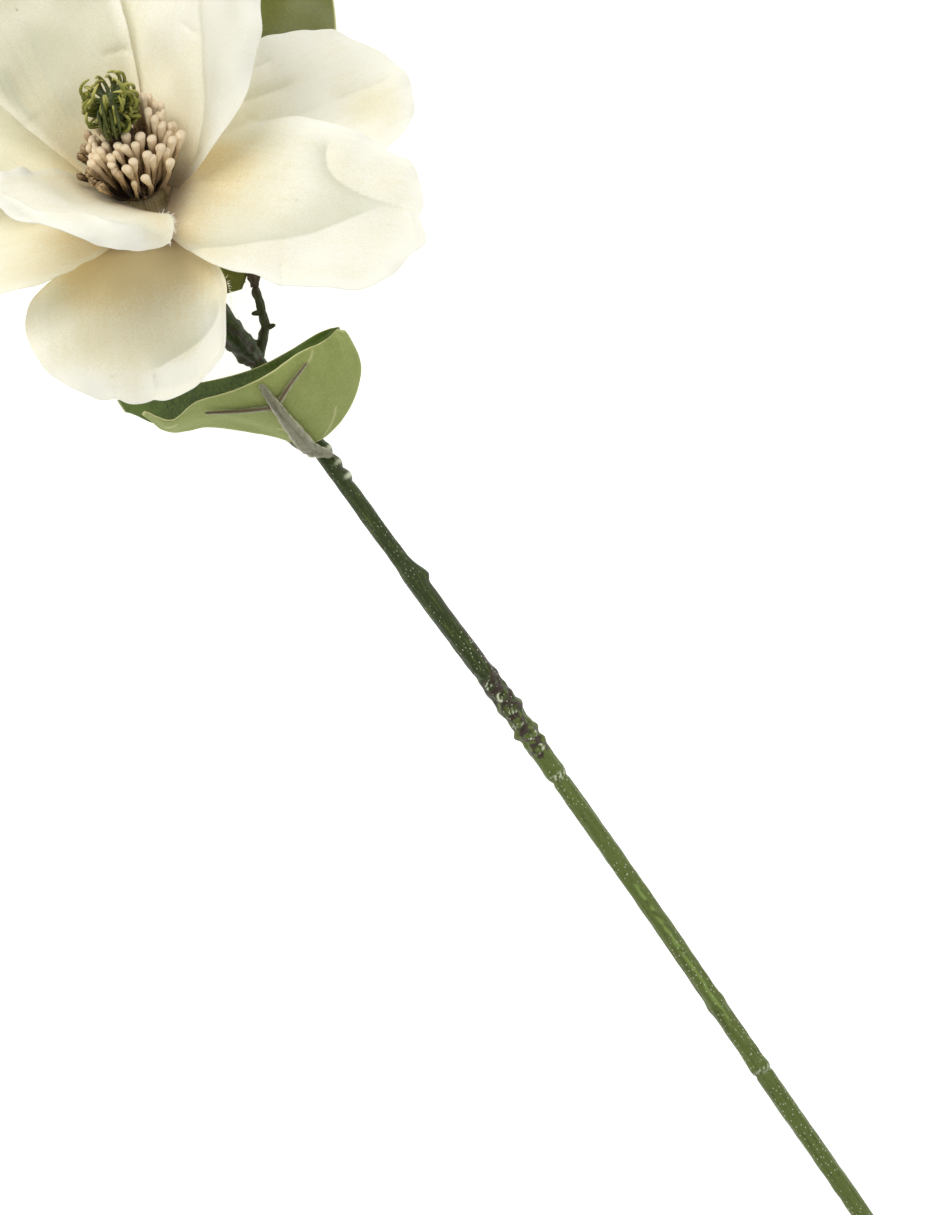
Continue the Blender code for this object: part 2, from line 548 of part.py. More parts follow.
def build_rib(name, grid, shares, radii, stalk, side, finish):
    """A tapered midrib laid along one side of a blade, with its stalk; side is 1 or -1 along the normal."""
    clear = LEAF_THICKNESS / 2 + RIB_GAP
    skipped = len(stalk)
    points = list(stalk) + on_blade(grid, shares, [side * (clear + radius) for radius in radii[skipped:]])
    count = 2 * len(points)
    return tube(name, curve_through(points, count), spread(radii, count), RIB_SIDES, finish)


def main():
    """Clears the scene and builds every piece."""
    for obj in list(bpy.data.objects):
        bpy.data.objects.remove(obj)
    petal = material("petal_fabric", (0.86, 0.82, 0.68), 0.8)
    leaf = material("leaf_fabric", (0.16, 0.26, 0.06), 0.55)
    rib = material("rib_plastic", (0.36, 0.34, 0.28), 0.5)
    stem = material("stem_plastic", (0.09, 0.13, 0.03), 0.45)
    bud = material("bud_plastic", (0.2, 0.09, 0.06), 0.5)
    cup = material("receptacle_plastic", (0.2, 0.22, 0.06), 0.5)
    stamen = material("stamen_plastic", (0.6, 0.45, 0.3), 0.5)
    pistil = material("pistil_plastic", (0.22, 0.3, 0.04), 0.4)

    build_stem(stem)
    tube("twig_bud", TWIG_BUD, TWIG_BUD_RADII, RIB_SIDES, bud)
    add_turned("receptacle", RECEPTACLE_PROFILE, RECEPTACLE_SIDES, cup)
    build_stamens(stamen)
    build_pistil(pistil)
    for name, shape in PETALS.items():
        grid = blade_grid(shape, BLOOM_CENTRE, BLOOM_AXIS, BLOOM_EAST, PETAL_ROWS, PETAL_COLUMNS)
        add_blade(name, grid, PETAL_THICKNESS, petal)
    for name, shape in LEAVES.items():
        grid = blade_grid(shape, shape["start"], (0, 0, 1), (1, 0, 0), LEAF_ROWS, LEAF_COLUMNS)
        add_blade(name, grid, LEAF_THICKNESS, leaf)
        build_rib(name + "_rib", grid, LEAF_RIB, RIB_RADII, (), 1.0, rib)
    front = patch_grid(LEAF_FRONT_NEAR, LEAF_FRONT_FAR, LEAF_FRONT_BULGE, PATCH_ROWS, PATCH_COLUMNS)
    add_blade("leaf_front", front, LEAF_THICKNESS, leaf)
    behind = patch_grid(LEAF_BEHIND_NEAR, LEAF_BEHIND_FAR, LEAF_BEHIND_BULGE, PATCH_ROWS, PATCH_COLUMNS)
    add_blade("leaf_behind", behind, LEAF_THICKNESS, leaf)
    ribs = [build_rib("leaf_front_rib", front, FRONT_RIB, FRONT_RIB_RADII, FRONT_STALK, 1.0, rib)]
    for shares in FRONT_SIDE_RIBS:
        ribs.append(build_rib("side_rib", front, shares, SIDE_RIB_RADII, (), 1.0, rib))
    fuse("leaf_front_rib", ribs)
    route = curve_through(BEHIND_RIB, BEHIND_RIB_RINGS)
    tube("leaf_behind_rib", route, spread(RIB_RADII, BEHIND_RIB_RINGS), RIB_SIDES, rib)


main()
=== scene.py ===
"""A magnolia of fabric and plastic, laid on a pale table and seen from straight above.

Every shape is worked out on the flower's own sheet, in millimetres: x to the right, y up the sheet and z off
the table. Sheet.to_row turns the sheet into the row frame, in metres, where the stem lies along Y.
"""

import logging
import math
from dataclasses import dataclass, field
from enum import Enum
from typing import Any, Callable, Optional, Sequence, Union

import bpy
import numpy as np
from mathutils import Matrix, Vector


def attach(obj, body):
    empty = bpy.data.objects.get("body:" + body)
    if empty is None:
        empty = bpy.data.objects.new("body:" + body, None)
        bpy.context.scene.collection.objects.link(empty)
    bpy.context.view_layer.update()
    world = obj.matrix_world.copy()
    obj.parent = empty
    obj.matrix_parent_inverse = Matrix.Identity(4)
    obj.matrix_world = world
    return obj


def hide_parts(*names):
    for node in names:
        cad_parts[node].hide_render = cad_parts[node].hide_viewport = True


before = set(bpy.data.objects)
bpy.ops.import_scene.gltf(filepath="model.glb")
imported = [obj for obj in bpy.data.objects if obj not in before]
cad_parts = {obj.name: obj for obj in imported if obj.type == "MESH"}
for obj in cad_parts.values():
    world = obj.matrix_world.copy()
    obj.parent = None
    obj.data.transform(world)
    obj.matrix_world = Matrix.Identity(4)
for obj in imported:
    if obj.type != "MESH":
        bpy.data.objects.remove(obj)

LOG = logging.getLogger("magnolia")
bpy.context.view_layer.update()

MM = 0.001
SEED = 11
BODY = "root"
GOLDEN_ANGLE = math.pi * (3.0 - math.sqrt(5.0))
FLAT_UNIT = 100.0  # millimetres in one unit of a blade's flat map
UP, EAST = (0.0, 0.0, 1.0), (1.0, 0.0, 0.0)
SKEW = (0.3, 0.2, 0.93)  # a direction that no loose thread lies along

Point = tuple[float, float, float]
Flat = tuple[float, float]
Colour = tuple[float, float, float, float]
Series = tuple[float, ...]
Line = tuple[Flat, ...]
Route = tuple[Point, ...]
Waves = tuple[Flat, float]
Array = np.ndarray
Number = Union[float, Array]


class Slot(Enum):
    """Material slots of the flower."""

    PETAL = "petal_fabric"
    LEAF = "leaf_fabric"
    RIB = "rib_plastic"
    STEM = "stem_plastic"
    BUD = "bud_plastic"
    CUP = "receptacle_plastic"
    STAMEN = "stamen_plastic"
    PISTIL = "pistil_plastic"


class Face(Enum):
    """Which side of a leaf is turned to the viewer."""

    UNDER = "under"
    UPPER = "upper"


# Small maths


def unit(vector: Any) -> Array:
    """The vectors at length one, along the last axis."""
    vector = np.asarray(vector, float)
    return vector / np.linalg.norm(vector, axis=-1, keepdims=True)


def smooth(share: Any) -> Array:
    """An S-shaped ramp from 0 to 1: 3s^2 - 2s^3, with s held between 0 and 1."""
    share = np.clip(share, 0.0, 1.0)
    return share * share * (3.0 - 2.0 * share)


def beyond(share: Any, start: float) -> Array:
    """An S-shaped ramp from 0 at the start to 1 at 1."""
    return smooth((share - start) / (1.0 - start))


def within(distance: Array, ends: Flat, fades: Flat) -> Array:
    """1 between two ends and 0 outside them, with an S-shaped fade inside each end."""
    return smooth((distance - ends[0]) / fades[0]) * smooth((ends[1] - distance) / fades[1])


def bell(distance: Any, width: Number) -> Array:
    """A bell round zero: exp(-(distance / width)^2)."""
    return np.exp(-(np.asarray(distance) / width) ** 2)


def lobe(angle: Any, turn: float = 0.0, power: float = 1.0) -> Array:
    """The part of a ring that faces one way: cos(angle - turn) where it is above 0, to a power."""
    return np.clip(np.cos(angle - turn), 0.0, 1.0) ** power


def wrapped(angle: Any) -> Array:
    """Angles brought between -pi and pi."""
    return np.mod(angle + math.pi, 2 * math.pi) - math.pi


def ring_angles(sides: int) -> Array:
    """Evenly spaced angles once round a ring."""
    return np.arange(sides) * 2 * math.pi / sides


def run_along(line: Array) -> Array:
    """How far along a line of points each of them is."""
    return np.concatenate([[0.0], np.cumsum(np.linalg.norm(np.diff(line, axis=0), axis=-1))])


def total(like: Array, fields: Sequence[Array], weights: Sequence[float] = ()) -> Array:
    """The weighted sum of some fields, or zeros if there are none.

    Args:
        like: an array of the shape that the sum has.
        fields: the arrays to add.
        weights: what each of them is multiplied by, 1 if left out.

    Returns:
        Their sum.
    """
    weights = weights or [1.0] * len(fields)
    return sum((weight * values for weight, values in zip(weights, fields)), np.zeros_like(like))


def basis(axis: Any, east: Any) -> tuple[Array, Array, Array]:
    """An axis, the east made square to it, and the north square to both."""
    axis = unit(axis)
    east = unit(np.asarray(east, float) - np.dot(east, axis) * axis)
    return axis, east, np.cross(axis, east)


def spread(values: Sequence[float], count: int) -> Array:
    """The values read at count evenly spaced places."""
    return np.interp(np.linspace(0, 1, count), np.linspace(0, 1, len(values)), values)


def curve_through(points: Any, count: int) -> Array:
    """Catmull-Rom curve through the points.

    Args:
        points: the curve's own points.
        count: how many evenly spaced parameters it is read at.

    Returns:
        An array of count points.
    """
    points = np.asarray(points, float)
    padded = np.vstack([2 * points[0] - points[1], points, 2 * points[-1] - points[-2]])
    at = np.linspace(0.0, len(points) - 1.0, count)
    span = np.minimum(at.astype(int), len(points) - 2)
    part = (at - span)[:, None]
    a, b, c, d = (padded[span + k] for k in range(4))
    return 0.5 * (2 * b + (c - a) * part + (2 * a - 5 * b + 4 * c - d) * part ** 2
                  + (3 * b - a - 3 * c + d) * part ** 3)


@dataclass(frozen=True)
class Ripple:
    """Smooth random relief: the sum of plane waves a sin(f.p + phase), their lengths drawn round a wavelength.

    Fields:
        seed: what the waves are drawn from.
        wavelength: the mean length of a wave along x and along y, in their own units.
        height: how high the relief is.
        waves: how many waves are added.
        stretch: the range that a wave's frequency is multiplied by.
    """

    seed: int
    wavelength: Flat
    height: float = 1.0
    waves: int = 14
    stretch: Flat = (0.6, 1.6)

    def __call__(self, x: Array, y: Array) -> Array:
        """The relief at the flat places."""
        draw = np.random.default_rng(self.seed)
        turn = draw.uniform(0.0, 2 * math.pi, self.waves)
        scale = draw.uniform(*self.stretch, self.waves)
        phase = draw.uniform(0.0, 2 * math.pi, self.waves)
        across = np.cos(turn) * scale * 2 * math.pi / self.wavelength[0]
        along = np.sin(turn) * scale * 2 * math.pi / self.wavelength[1]
        waves = np.sin(x[..., None] * across + y[..., None] * along + phase)
        return waves.sum(axis=-1) * math.sqrt(2.0 / self.waves) * self.height

    def broken(self, x: Array, y: Array, whole: float) -> Array:
        """A mask with gaps worn in it: smooth(whole + relief), so the higher whole is, the fewer the gaps."""
        return smooth(whole + self(x, y))


@dataclass(frozen=True)
class Sheet:
    """The layout sheet's place in the row frame."""

    lean: float = math.radians(35.3)
    shift: Flat = (-3.1, 179.4)

    def to_row(self, points: Any) -> Array:
        """Sheet millimetres to row metres: a turn by the stem's lean about Z, then the shift."""
        points = np.asarray(points, float)
        cos_lean, sin_lean = math.cos(self.lean), math.sin(self.lean)
        x = points[..., 0] * cos_lean + points[..., 1] * sin_lean + self.shift[0]
        y = -points[..., 0] * sin_lean + points[..., 1] * cos_lean + self.shift[1]
        return np.stack([x, y, points[..., 2]], axis=-1) * MM

    def turned(self, vector: Point) -> Array:
        """A direction on the sheet as a direction in the row frame."""
        return (self.to_row(vector) - self.to_row((0.0, 0.0, 0.0))) / MM


SHEET = Sheet()


# Surfaces and meshes


@dataclass
class Surface:
    """Points, faces and painted values of one piece while it is worked out, in sheet millimetres."""

    points: list[Array] = field(default_factory=list)
    faces: list[Array] = field(default_factory=list)
    flats: list[Array] = field(default_factory=list)
    paints: dict[str, list[Array]] = field(default_factory=dict)
    count: int = 0

    def add(self, points: Array, faces: Sequence[Array], flats: Sequence[Array],
            paints: dict[str, Array]) -> None:
        """Adds a patch.

        Args:
            points: its points, n by 3.
            faces: arrays of quads or triangles that index those points.
            flats: for each array of faces, the flat place of every corner.
            paints: named values, one a point.
        """
        self.points.append(points)
        self.faces.extend(face + self.count for face in faces)
        self.flats.extend(flats)
        for name, values in paints.items():
            self.paints.setdefault(name, []).append(np.broadcast_to(values, len(points)))
        self.count += len(points)

    def piece(self, name: str, finish: bpy.types.Material) -> bpy.types.Object:
        """The finished mesh object, in row metres, with nothing of it below the table.

        Args:
            name: the piece's name.
            finish: its material.

        Returns:
            The object, linked to the scene.
        """
        points = np.vstack(self.points)
        points[:, 2] = np.maximum(points[:, 2], 0.0)
        mesh = bpy.data.meshes.new(name)
        mesh.from_pydata(SHEET.to_row(points).tolist(), [], [face for block in self.faces for face in block.tolist()])
        mesh.materials.append(finish)
        layer = mesh.uv_layers.new(name="flat")
        corners = np.concatenate([block.reshape(-1, 2) for block in self.flats])
        layer.data.foreach_set("uv", corners.astype(np.float32).ravel())
        for key, blocks in self.paints.items():
            values = np.concatenate(blocks).astype(np.float32)
            mesh.attributes.new(key, "FLOAT", "POINT").data.foreach_set("value", values)
        mesh.shade_smooth()
        piece = bpy.data.objects.new(name, mesh)
        bpy.context.scene.collection.objects.link(piece)
        return piece


def grid_quads(rows: int, columns: int) -> Array:
    """Quads of a grid of points, counted row by row."""
    index = np.arange(rows * columns).reshape(rows, columns)
    return np.stack([index[:-1, :-1], index[1:, :-1], index[1:, 1:], index[:-1, 1:]], axis=-1).reshape(-1, 4)


def grid_normals(grid: Array) -> Array:
    """Unit normals of a grid of points."""
    return unit(np.cross(np.gradient(grid, axis=0), np.gradient(grid, axis=1)))


def add_shell(surface: Surface, middle: Array, thickness: Number, flat: tuple[Array, Array],
              paints: dict[str, Array]) -> None:
    """Adds a thin closed shell: the middle surface moved half its thickness along its normals, both ways.

    Args:
        surface: what it is added to.
        middle: grid of points, rows by columns by 3.
        thickness: one number, or one for each point.
        flat: how far across and along the unbent blade each point is, in millimetres.
        paints: named values, each rows by columns.
    """
    half = grid_normals(middle) * (np.broadcast_to(thickness, middle.shape[:2]) / 2)[..., None]
    rows, columns = middle.shape[:2]
    count = rows * columns
    index = np.arange(count).reshape(rows, columns)
    front = grid_quads(rows, columns)
    border = np.concatenate([index[0, :], index[1:, -1], index[-1, -2::-1], index[-2:0:-1, 0]])
    after = np.roll(border, -1)
    rim = np.stack([border, after, after + count, border + count], axis=-1)
    faces = np.concatenate([front, front[:, ::-1] + count, rim])
    points = np.concatenate([(middle + half).reshape(-1, 3), (middle - half).reshape(-1, 3)])
    both = np.concatenate([np.stack(flat, axis=-1).reshape(-1, 2) / FLAT_UNIT] * 2)
    painted = {name: np.concatenate([np.ravel(values)] * 2) for name, values in paints.items()}
    painted["front"] = np.repeat([1.0, 0.0], count)
    surface.add(points, [faces], [both[faces]], painted)


def sweep(route: Array, radii: Any, sides: int, reference: Any) -> Array:
    """Rings of points round one or more routes: centre + r (cos a up + sin a side), side = tangent x up.

    Args:
        route: points, ... by rings by 3.
        radii: ... by rings, or ... by rings by sides.
        sides: points in a ring.
        reference: the direction that up is taken from.

    Returns:
        The points, ... by rings by sides by 3.
    """
    radii = np.asarray(radii, float)
    if radii.ndim < route.ndim:
        radii = np.repeat(radii[..., None], sides, axis=-1)
    tangent = unit(np.gradient(route, axis=-2))
    reference = np.broadcast_to(np.asarray(reference, float), tangent.shape)
    up = unit(reference - (reference * tangent).sum(axis=-1, keepdims=True) * tangent)
    side = np.cross(tangent, up)
    angle = ring_angles(sides)[:, None]
    ring = np.cos(angle) * up[..., None, :] + np.sin(angle) * side[..., None, :]
    return route[..., None, :] + radii[..., None] * ring


def add_tubes(surface: Surface, rings: Array, around: float, along: Array,
              paints: dict[str, Array]) -> None:
    """Adds closed tubes from their rings of points, each end shut by a fan.

    Args:
        surface: what they are added to.
        rings: tubes by rings by sides by 3, as sweep gives them.
        around: the flat width that one turn of a tube takes.
        along: flat place of each ring, one a ring.
        paints: named values, tubes by rings, or tubes by rings by sides.
    """
    tubes, count, sides = rings.shape[:3]
    base = (np.arange(tubes) * (count * sides + 2))[:, None, None]
    row = (np.arange(count - 1) * sides)[None, :, None]
    step = np.arange(sides)[None, None, :]
    following = (step + 1) % sides
    quads = np.stack(np.broadcast_arrays(base + row + step, base + row + following,
                                         base + row + sides + following, base + row + sides + step), axis=-1)
    turn = np.broadcast_to(step / sides, quads.shape[:3])
    low = np.broadcast_to(along[None, :-1, None], quads.shape[:3])
    high = np.broadcast_to(along[None, 1:, None], quads.shape[:3])
    across = np.stack([turn, turn + 1 / sides, turn + 1 / sides, turn], axis=-1) * around
    flat = np.stack([across, np.stack([low, low, high, high], axis=-1)], axis=-1)
    ends = base[..., 0] + count * sides
    top = base + (count - 1) * sides
    fans = [np.stack(np.broadcast_arrays(ends[..., None], base + following, base + step), axis=-1),
            np.stack(np.broadcast_arrays(ends[..., None] + 1, top + step, top + following), axis=-1)]
    caps = [rings[:, :1].mean(axis=2), rings[:, -1:].mean(axis=2)]
    points = np.concatenate([rings.reshape(tubes, -1, 3)] + caps, axis=1)
    painted = {}
    for name, values in paints.items():
        values = np.asarray(values, float)
        values = np.broadcast_to(values[..., None] if values.ndim == 2 else values, (tubes, count, sides))
        pair = [values[:, :1, 0], values[:, -1:, 0]]
        painted[name] = np.concatenate([values.reshape(tubes, -1)] + pair, axis=1).ravel()
    faces = [quads.reshape(-1, 4)] + [fan.reshape(-1, 3) for fan in fans]
    flats = [flat.reshape(-1, 4, 2)] + [np.zeros((tubes * sides, 3, 2)) + [0.0, along[end]] for end in (0, -1)]
    surface.add(points.reshape(-1, 3), faces, flats, painted)


def put(piece: bpy.types.Object, slot: Slot, *nodes: str) -> None:
    """Rides a finished piece on the flower's body, in the place of the named nodes."""
    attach(piece, BODY)
    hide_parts(*nodes)
    LOG.info("%s: %d faces, for %s", piece.name, len(piece.data.polygons), ", ".join(nodes))


# Shader maths


def paint(red: float, green: float, blue: float) -> Colour:
    """A paint given by its display values, 0 to 255, as a linear colour, by the sRGB curve."""
    shares = [channel / 255 for channel in (red, green, blue)]
    linear = [share / 12.92 if share <= 0.04045 else ((share + 0.055) / 1.055) ** 2.4 for share in shares]
    return (linear[0], linear[1], linear[2], 1.0)


def math_node(operation: str, turned: bool = False) -> Callable[["Wire", Any], "Wire"]:
    """An operator for Wire: one Math node on itself and the other value.

    Args:
        operation: Blender's name of what the node does.
        turned: whether the other value comes first.

    Returns:
        The operator.
    """
    def operator(wire: "Wire", other: Any) -> "Wire":
        """The node's output."""
        first, second = (other, wire) if turned else (wire, other)
        return wire.recipe.node("ShaderNodeMath", {"operation": operation}, {0: first, 1: second})
    return operator


class Wire:
    """A node's socket that sums, products and powers can be written with."""

    def __init__(self, recipe: "Recipe", socket: Optional[bpy.types.NodeSocket]) -> None:
        """Keeps the socket and the recipe it belongs to."""
        self.recipe = recipe
        self.socket = socket

    __add__, __radd__ = math_node("ADD"), math_node("ADD", turned=True)
    __sub__, __rsub__ = math_node("SUBTRACT"), math_node("SUBTRACT", turned=True)
    __mul__, __rmul__ = math_node("MULTIPLY"), math_node("MULTIPLY", turned=True)
    __pow__ = math_node("POWER")

    def swing(self, strength: float) -> "Wire":
        """How far a noise is from its mean, which is 0.5, times a strength."""
        return (self - 0.5) * strength

    def ramp(self, low: float, high: float) -> "Wire":
        """A soft step from 0 at low to 1 at high."""
        settings = {"interpolation_type": "SMOOTHSTEP"}
        return self.recipe.node("ShaderNodeMapRange", settings, {"Value": self, "From Min": low, "From Max": high})


class Recipe:
    """The nodes of one material, and the few ways that this flower's finishes mix them."""

    def __init__(self, name: str) -> None:
        """Starts a material with an empty node tree."""
        self.material = bpy.data.materials.new(name)
        self.material.use_nodes = True
        self.tree = self.material.node_tree
        self.tree.nodes.clear()

    def node(self, kind: str, settings: Optional[dict[str, Any]] = None, values: Optional[dict[Any, Any]] = None,
             output: Any = 0) -> Wire:
        """Adds any node.

        Args:
            kind: Blender's name of the node's type.
            settings: what is set on the node itself, before its sockets.
            values: a value or a Wire for each input, by name or number.
            output: the output that is handed on, by name or number.

        Returns:
            That output.
        """
        made = self.tree.nodes.new(kind)
        for key, value in (settings or {}).items():
            setattr(made, key, value)
        for key, value in (values or {}).items():
            if isinstance(value, Wire):
                self.tree.links.new(value.socket, made.inputs[key])
            else:
                made.inputs[key].default_value = value
        return Wire(self, made.outputs[output] if made.outputs else None)

    def painted(self, name: str) -> Wire:
        """A value that was painted on the piece's points."""
        return self.node("ShaderNodeAttribute", {"attribute_name": name}, output="Fac")

    def place(self) -> Wire:
        """Where a point is on the finished flower, in metres."""
        return self.node("ShaderNodeTexCoord", output="Object")

    def flat(self, across: float = 1.0, along: float = 1.0) -> Wire:
        """Where a point is on the piece before it was bent, stretched by two numbers."""
        laid = self.node("ShaderNodeUVMap", {"uv_map": "flat"})
        return self.node("ShaderNodeVectorMath", {"operation": "MULTIPLY"}, {0: laid, 1: (across, along, 1.0)})

    def noise(self, where: Wire, scale: float, detail: float = 3.0, rough: float = 0.5) -> Wire:
        """Cloudy noise, about 0.5 in the mean."""
        values = {"Vector": where, "Scale": scale, "Detail": detail, "Roughness": rough}
        return self.node("ShaderNodeTexNoise", {"noise_dimensions": "3D"}, values)

    def dots(self, where: Wire, scale: float, radius: float, stray: float) -> Wire:
        """Round specks: 1 inside a speck and 0 outside it, soft over the outer 0.4 of its radius."""
        values = {"Vector": where, "Scale": scale, "Randomness": stray}
        gap = self.node("ShaderNodeTexVoronoi", {"voronoi_dimensions": "2D"}, values)
        return 1.0 - gap.ramp(radius * 0.6, radius)

    def blend(self, share: Any, first: Any, second: Any) -> Wire:
        """The first colour where share is 0 and the second where it is 1, by the sockets of the colour mix."""
        return self.node("ShaderNodeMix", {"data_type": "RGBA"}, {0: share, 6: first, 7: second}, output=2)

    def bump(self, height: Wire, depth: float) -> Wire:
        """A normal tilted by a height whose 0 to 1 is depth millimetres."""
        return self.node("ShaderNodeBump", {}, {"Height": height, "Distance": depth * MM, "Strength": 1.0})

    def shade(self, **values: Any) -> bpy.types.Material:
        """Ends the recipe with a Principled shader.

        Args:
            values: its inputs, written with _ for a space.

        Returns:
            The material.
        """
        inputs = {name.replace("_", " "): value for name, value in values.items()}
        shader = self.node("ShaderNodeBsdfPrincipled", {}, inputs)
        self.node("ShaderNodeOutputMaterial", {}, {"Surface": shader})
        return self.material


# Finishes


@dataclass(frozen=True)
class PetalFabric:
    """Matt cream fabric: pale at the rim, beige at the base, with painted shade in its hollows and creases, painted
    light on rolled rims, and grain and length streaks.

    Fields:
        clouds, specks: scale of the broad mottling and of the grain, to the metre.
        streaks, threads: scale of the streaks and of the weave, across and along the flat blade.
        to_cream, to_beige, to_brown: the values at which each colour starts and is full: for the first two the warmer
            tone, which painted light lowers, and for the last the brown marks and painted shade.
        grain_mm: how deep the grain is.
    """

    pale: Colour = paint(248, 246, 231)
    cream: Colour = paint(241, 235, 206)
    beige: Colour = paint(233, 210, 154)
    shade_grey: Colour = paint(203, 203, 176)
    brown: Colour = paint(150, 124, 92)
    clouds: float = 55.0
    specks: float = 1500.0
    streaks: Flat = (60.0, 4.0)
    threads: Flat = (200.0, 30.0)
    to_cream: Flat = (0.0, 0.55)
    to_beige: Flat = (0.45, 1.15)
    to_brown: Flat = (0.08, 1.0)
    roughness: float = 0.82
    grain_mm: float = 0.12

    def make(self) -> bpy.types.Material:
        """The material."""
        recipe = Recipe("petal_fabric")
        where = recipe.place()
        cloud = recipe.noise(where, self.clouds)
        speck = recipe.noise(where, self.specks, 2.0, 0.7)
        streak = recipe.noise(recipe.flat(*self.streaks), 1.0, 4.0, 0.6)
        # Lower values make the cloth paler, painted light among them.
        warm_and_lit = recipe.painted("warmth_and_light") + cloud.swing(0.6) + streak.swing(0.35) + speck.swing(0.9)
        colour = recipe.blend(warm_and_lit.ramp(*self.to_cream), self.pale, self.cream)
        colour = recipe.blend(warm_and_lit.ramp(*self.to_beige), colour, self.beige)
        # Painted shade: the cloth is mixed towards its shaded colour, or away from it where light is painted.
        painted_shade = recipe.painted("shade") * (0.7 + cloud * 0.6) + speck.swing(0.22)
        colour = recipe.blend(painted_shade.ramp(0.0, 1.0), colour, self.shade_grey)
        # The brown takes real marks, painted shade at the root and along creases, and painted shadows.
        soil_and_shade = recipe.painted("soil_and_shade") + cloud.swing(0.2)
        colour = recipe.blend(soil_and_shade.ramp(*self.to_brown), colour, self.brown)
        threads = recipe.noise(recipe.flat(*self.threads), 1.0, 2.0)
        height = speck + threads * 0.6 + streak * 0.5
        return recipe.shade(Base_Color=colour, Roughness=self.roughness + speck.swing(0.2),
                            Normal=recipe.bump(height, self.grain_mm), Sheen_Weight=0.2, Specular_IOR_Level=0.25)


@dataclass(frozen=True)
class LeafFabric:
    """Coated leaf fabric: dark and glossy above, light and matt below, with pale veins, a pale cut edge and lighter
    zones of painted light above.

    Fields:
        front_is: the side of the fabric that is on the front of the leaf's shell.
        clouds, specks: scale of the broad and of the fine mottling, to the metre.
        mottle: how much of the lighter tone comes through.
        gloss, matt: roughness of the upper side, and how much rougher the underside is.
    """

    name: str
    upper: Colour = paint(52, 86, 34)
    upper_light: Colour = paint(74, 116, 46)
    under: Colour = paint(138, 150, 80)
    under_light: Colour = paint(162, 170, 100)
    edge: Colour = paint(206, 206, 150)
    front_is: Face = Face.UNDER
    clouds: float = 70.0
    specks: float = 1100.0
    mottle: float = 0.8
    gloss: float = 0.42
    matt: float = 0.3
    grain_mm: float = 0.1

    def make(self) -> bpy.types.Material:
        """The material."""
        recipe = Recipe(self.name)
        where = recipe.place()
        cloud = recipe.noise(where, self.clouds)
        speck = recipe.noise(where, self.specks, 2.0, 0.7)
        front = recipe.painted("front")
        under = front if self.front_is is Face.UNDER else 1.0 - front
        share = (cloud * 0.4 + speck * 0.6).ramp(0.3, 0.7) * self.mottle
        vein = recipe.painted("vein")
        top = recipe.blend(share, self.upper, self.upper_light)
        # Painted light: lighter where the upper side is painted lit; the veins are lighter in their own colour.
        top = recipe.blend((vein * 0.5 + recipe.painted("bright")).ramp(0.0, 1.0), top, self.upper_light)
        low = recipe.blend(share, self.under, self.under_light)
        low = recipe.blend(vein * 0.6, low, self.edge)
        colour = recipe.blend(under.ramp(0.4, 0.6), top, low)
        colour = recipe.blend(recipe.painted("edge"), colour, self.edge)
        height = speck * 0.6 + vein * 0.6 + cloud
        return recipe.shade(Base_Color=colour, Roughness=self.gloss + under * self.matt + speck.swing(0.15),
                            Normal=recipe.bump(height, self.grain_mm), Specular_IOR_Level=0.4)


@dataclass(frozen=True)
class Moulding:
    """Moulded plastic: a main colour that turns to a dark one and a pale one where they are painted. Its brown colour
    takes real stains and painted shade, and its pale one real specks and painted glints.

    Fields:
        highlight: the colour of a painted highlight, a lighter streak along its top, if it has one.
        gloss: the roughness of the clean plastic.
        dots: how strong the rows of pale moulded specks are.
        clouds, specks: scale of the mottling and of the grain, to the metre.
        streaks, sown: scale of the streaks and of the rows of specks, round and along the piece.
        dot_radius, stray: size of a speck and how far it stands from its row, in steps between specks.
    """

    name: str
    main: Colour
    dark: Colour
    pale: Colour
    stain_and_shade: Colour = paint(70, 48, 38)
    fresh: Optional[Colour] = None
    gloss: float = 0.45
    dots: float = 0.0
    clouds: float = 180.0
    specks: float = 1400.0
    streaks: Flat = (0.9, 0.06)
    sown: Flat = (0.6, 0.34)
    dot_radius: float = 0.13
    stray: float = 0.8
    grain_mm: float = 0.12

    def make(self) -> bpy.types.Material:
        """The material."""
        recipe = Recipe(self.name)
        where = recipe.place()
        cloud = recipe.noise(where, self.clouds)
        speck = recipe.noise(where, self.specks, 2.0, 0.6).ramp(0.3, 0.7)
        streak = recipe.noise(recipe.flat(*self.streaks), 1.0, 4.0, 0.6).ramp(0.3, 0.7)
        tone = recipe.painted("dark") + streak.swing(0.8) + cloud.swing(0.4) + speck.swing(0.4)
        colour = recipe.blend(tone.ramp(0.0, 1.0), self.main, self.dark)
        # Brown for real stains and for painted shade in grooves and among the stamens.
        colour = recipe.blend((recipe.painted("stain_and_shade") + cloud.swing(0.5)).ramp(0.2, 0.9), colour, self.stain_and_shade)
        if self.fresh:
            # Painted highlight: a lighter streak where light would shine off the top.
            colour = recipe.blend((recipe.painted("fresh") + streak.swing(0.5)).ramp(0.1, 1.0), colour, self.fresh)
        # Pale for real specks and patches, and for painted glints.
        bright = (recipe.painted("pale") * (0.35 + cloud * 1.3)).ramp(0.15, 0.95)
        if self.dots:
            dots = recipe.dots(recipe.flat(*self.sown), 1.0, self.dot_radius, self.stray)
            dots = dots * recipe.noise(where, self.clouds / 2).ramp(0.4, 0.6) * recipe.painted("speck")
            bright = bright + dots * self.dots
        colour = recipe.blend(bright.ramp(0.0, 1.0), colour, self.pale)
        height = speck * 0.4 + streak + bright * 0.5
        return recipe.shade(Base_Color=colour, Roughness=self.gloss + cloud.swing(0.3),
                            Normal=recipe.bump(height, self.grain_mm), Specular_IOR_Level=0.35)


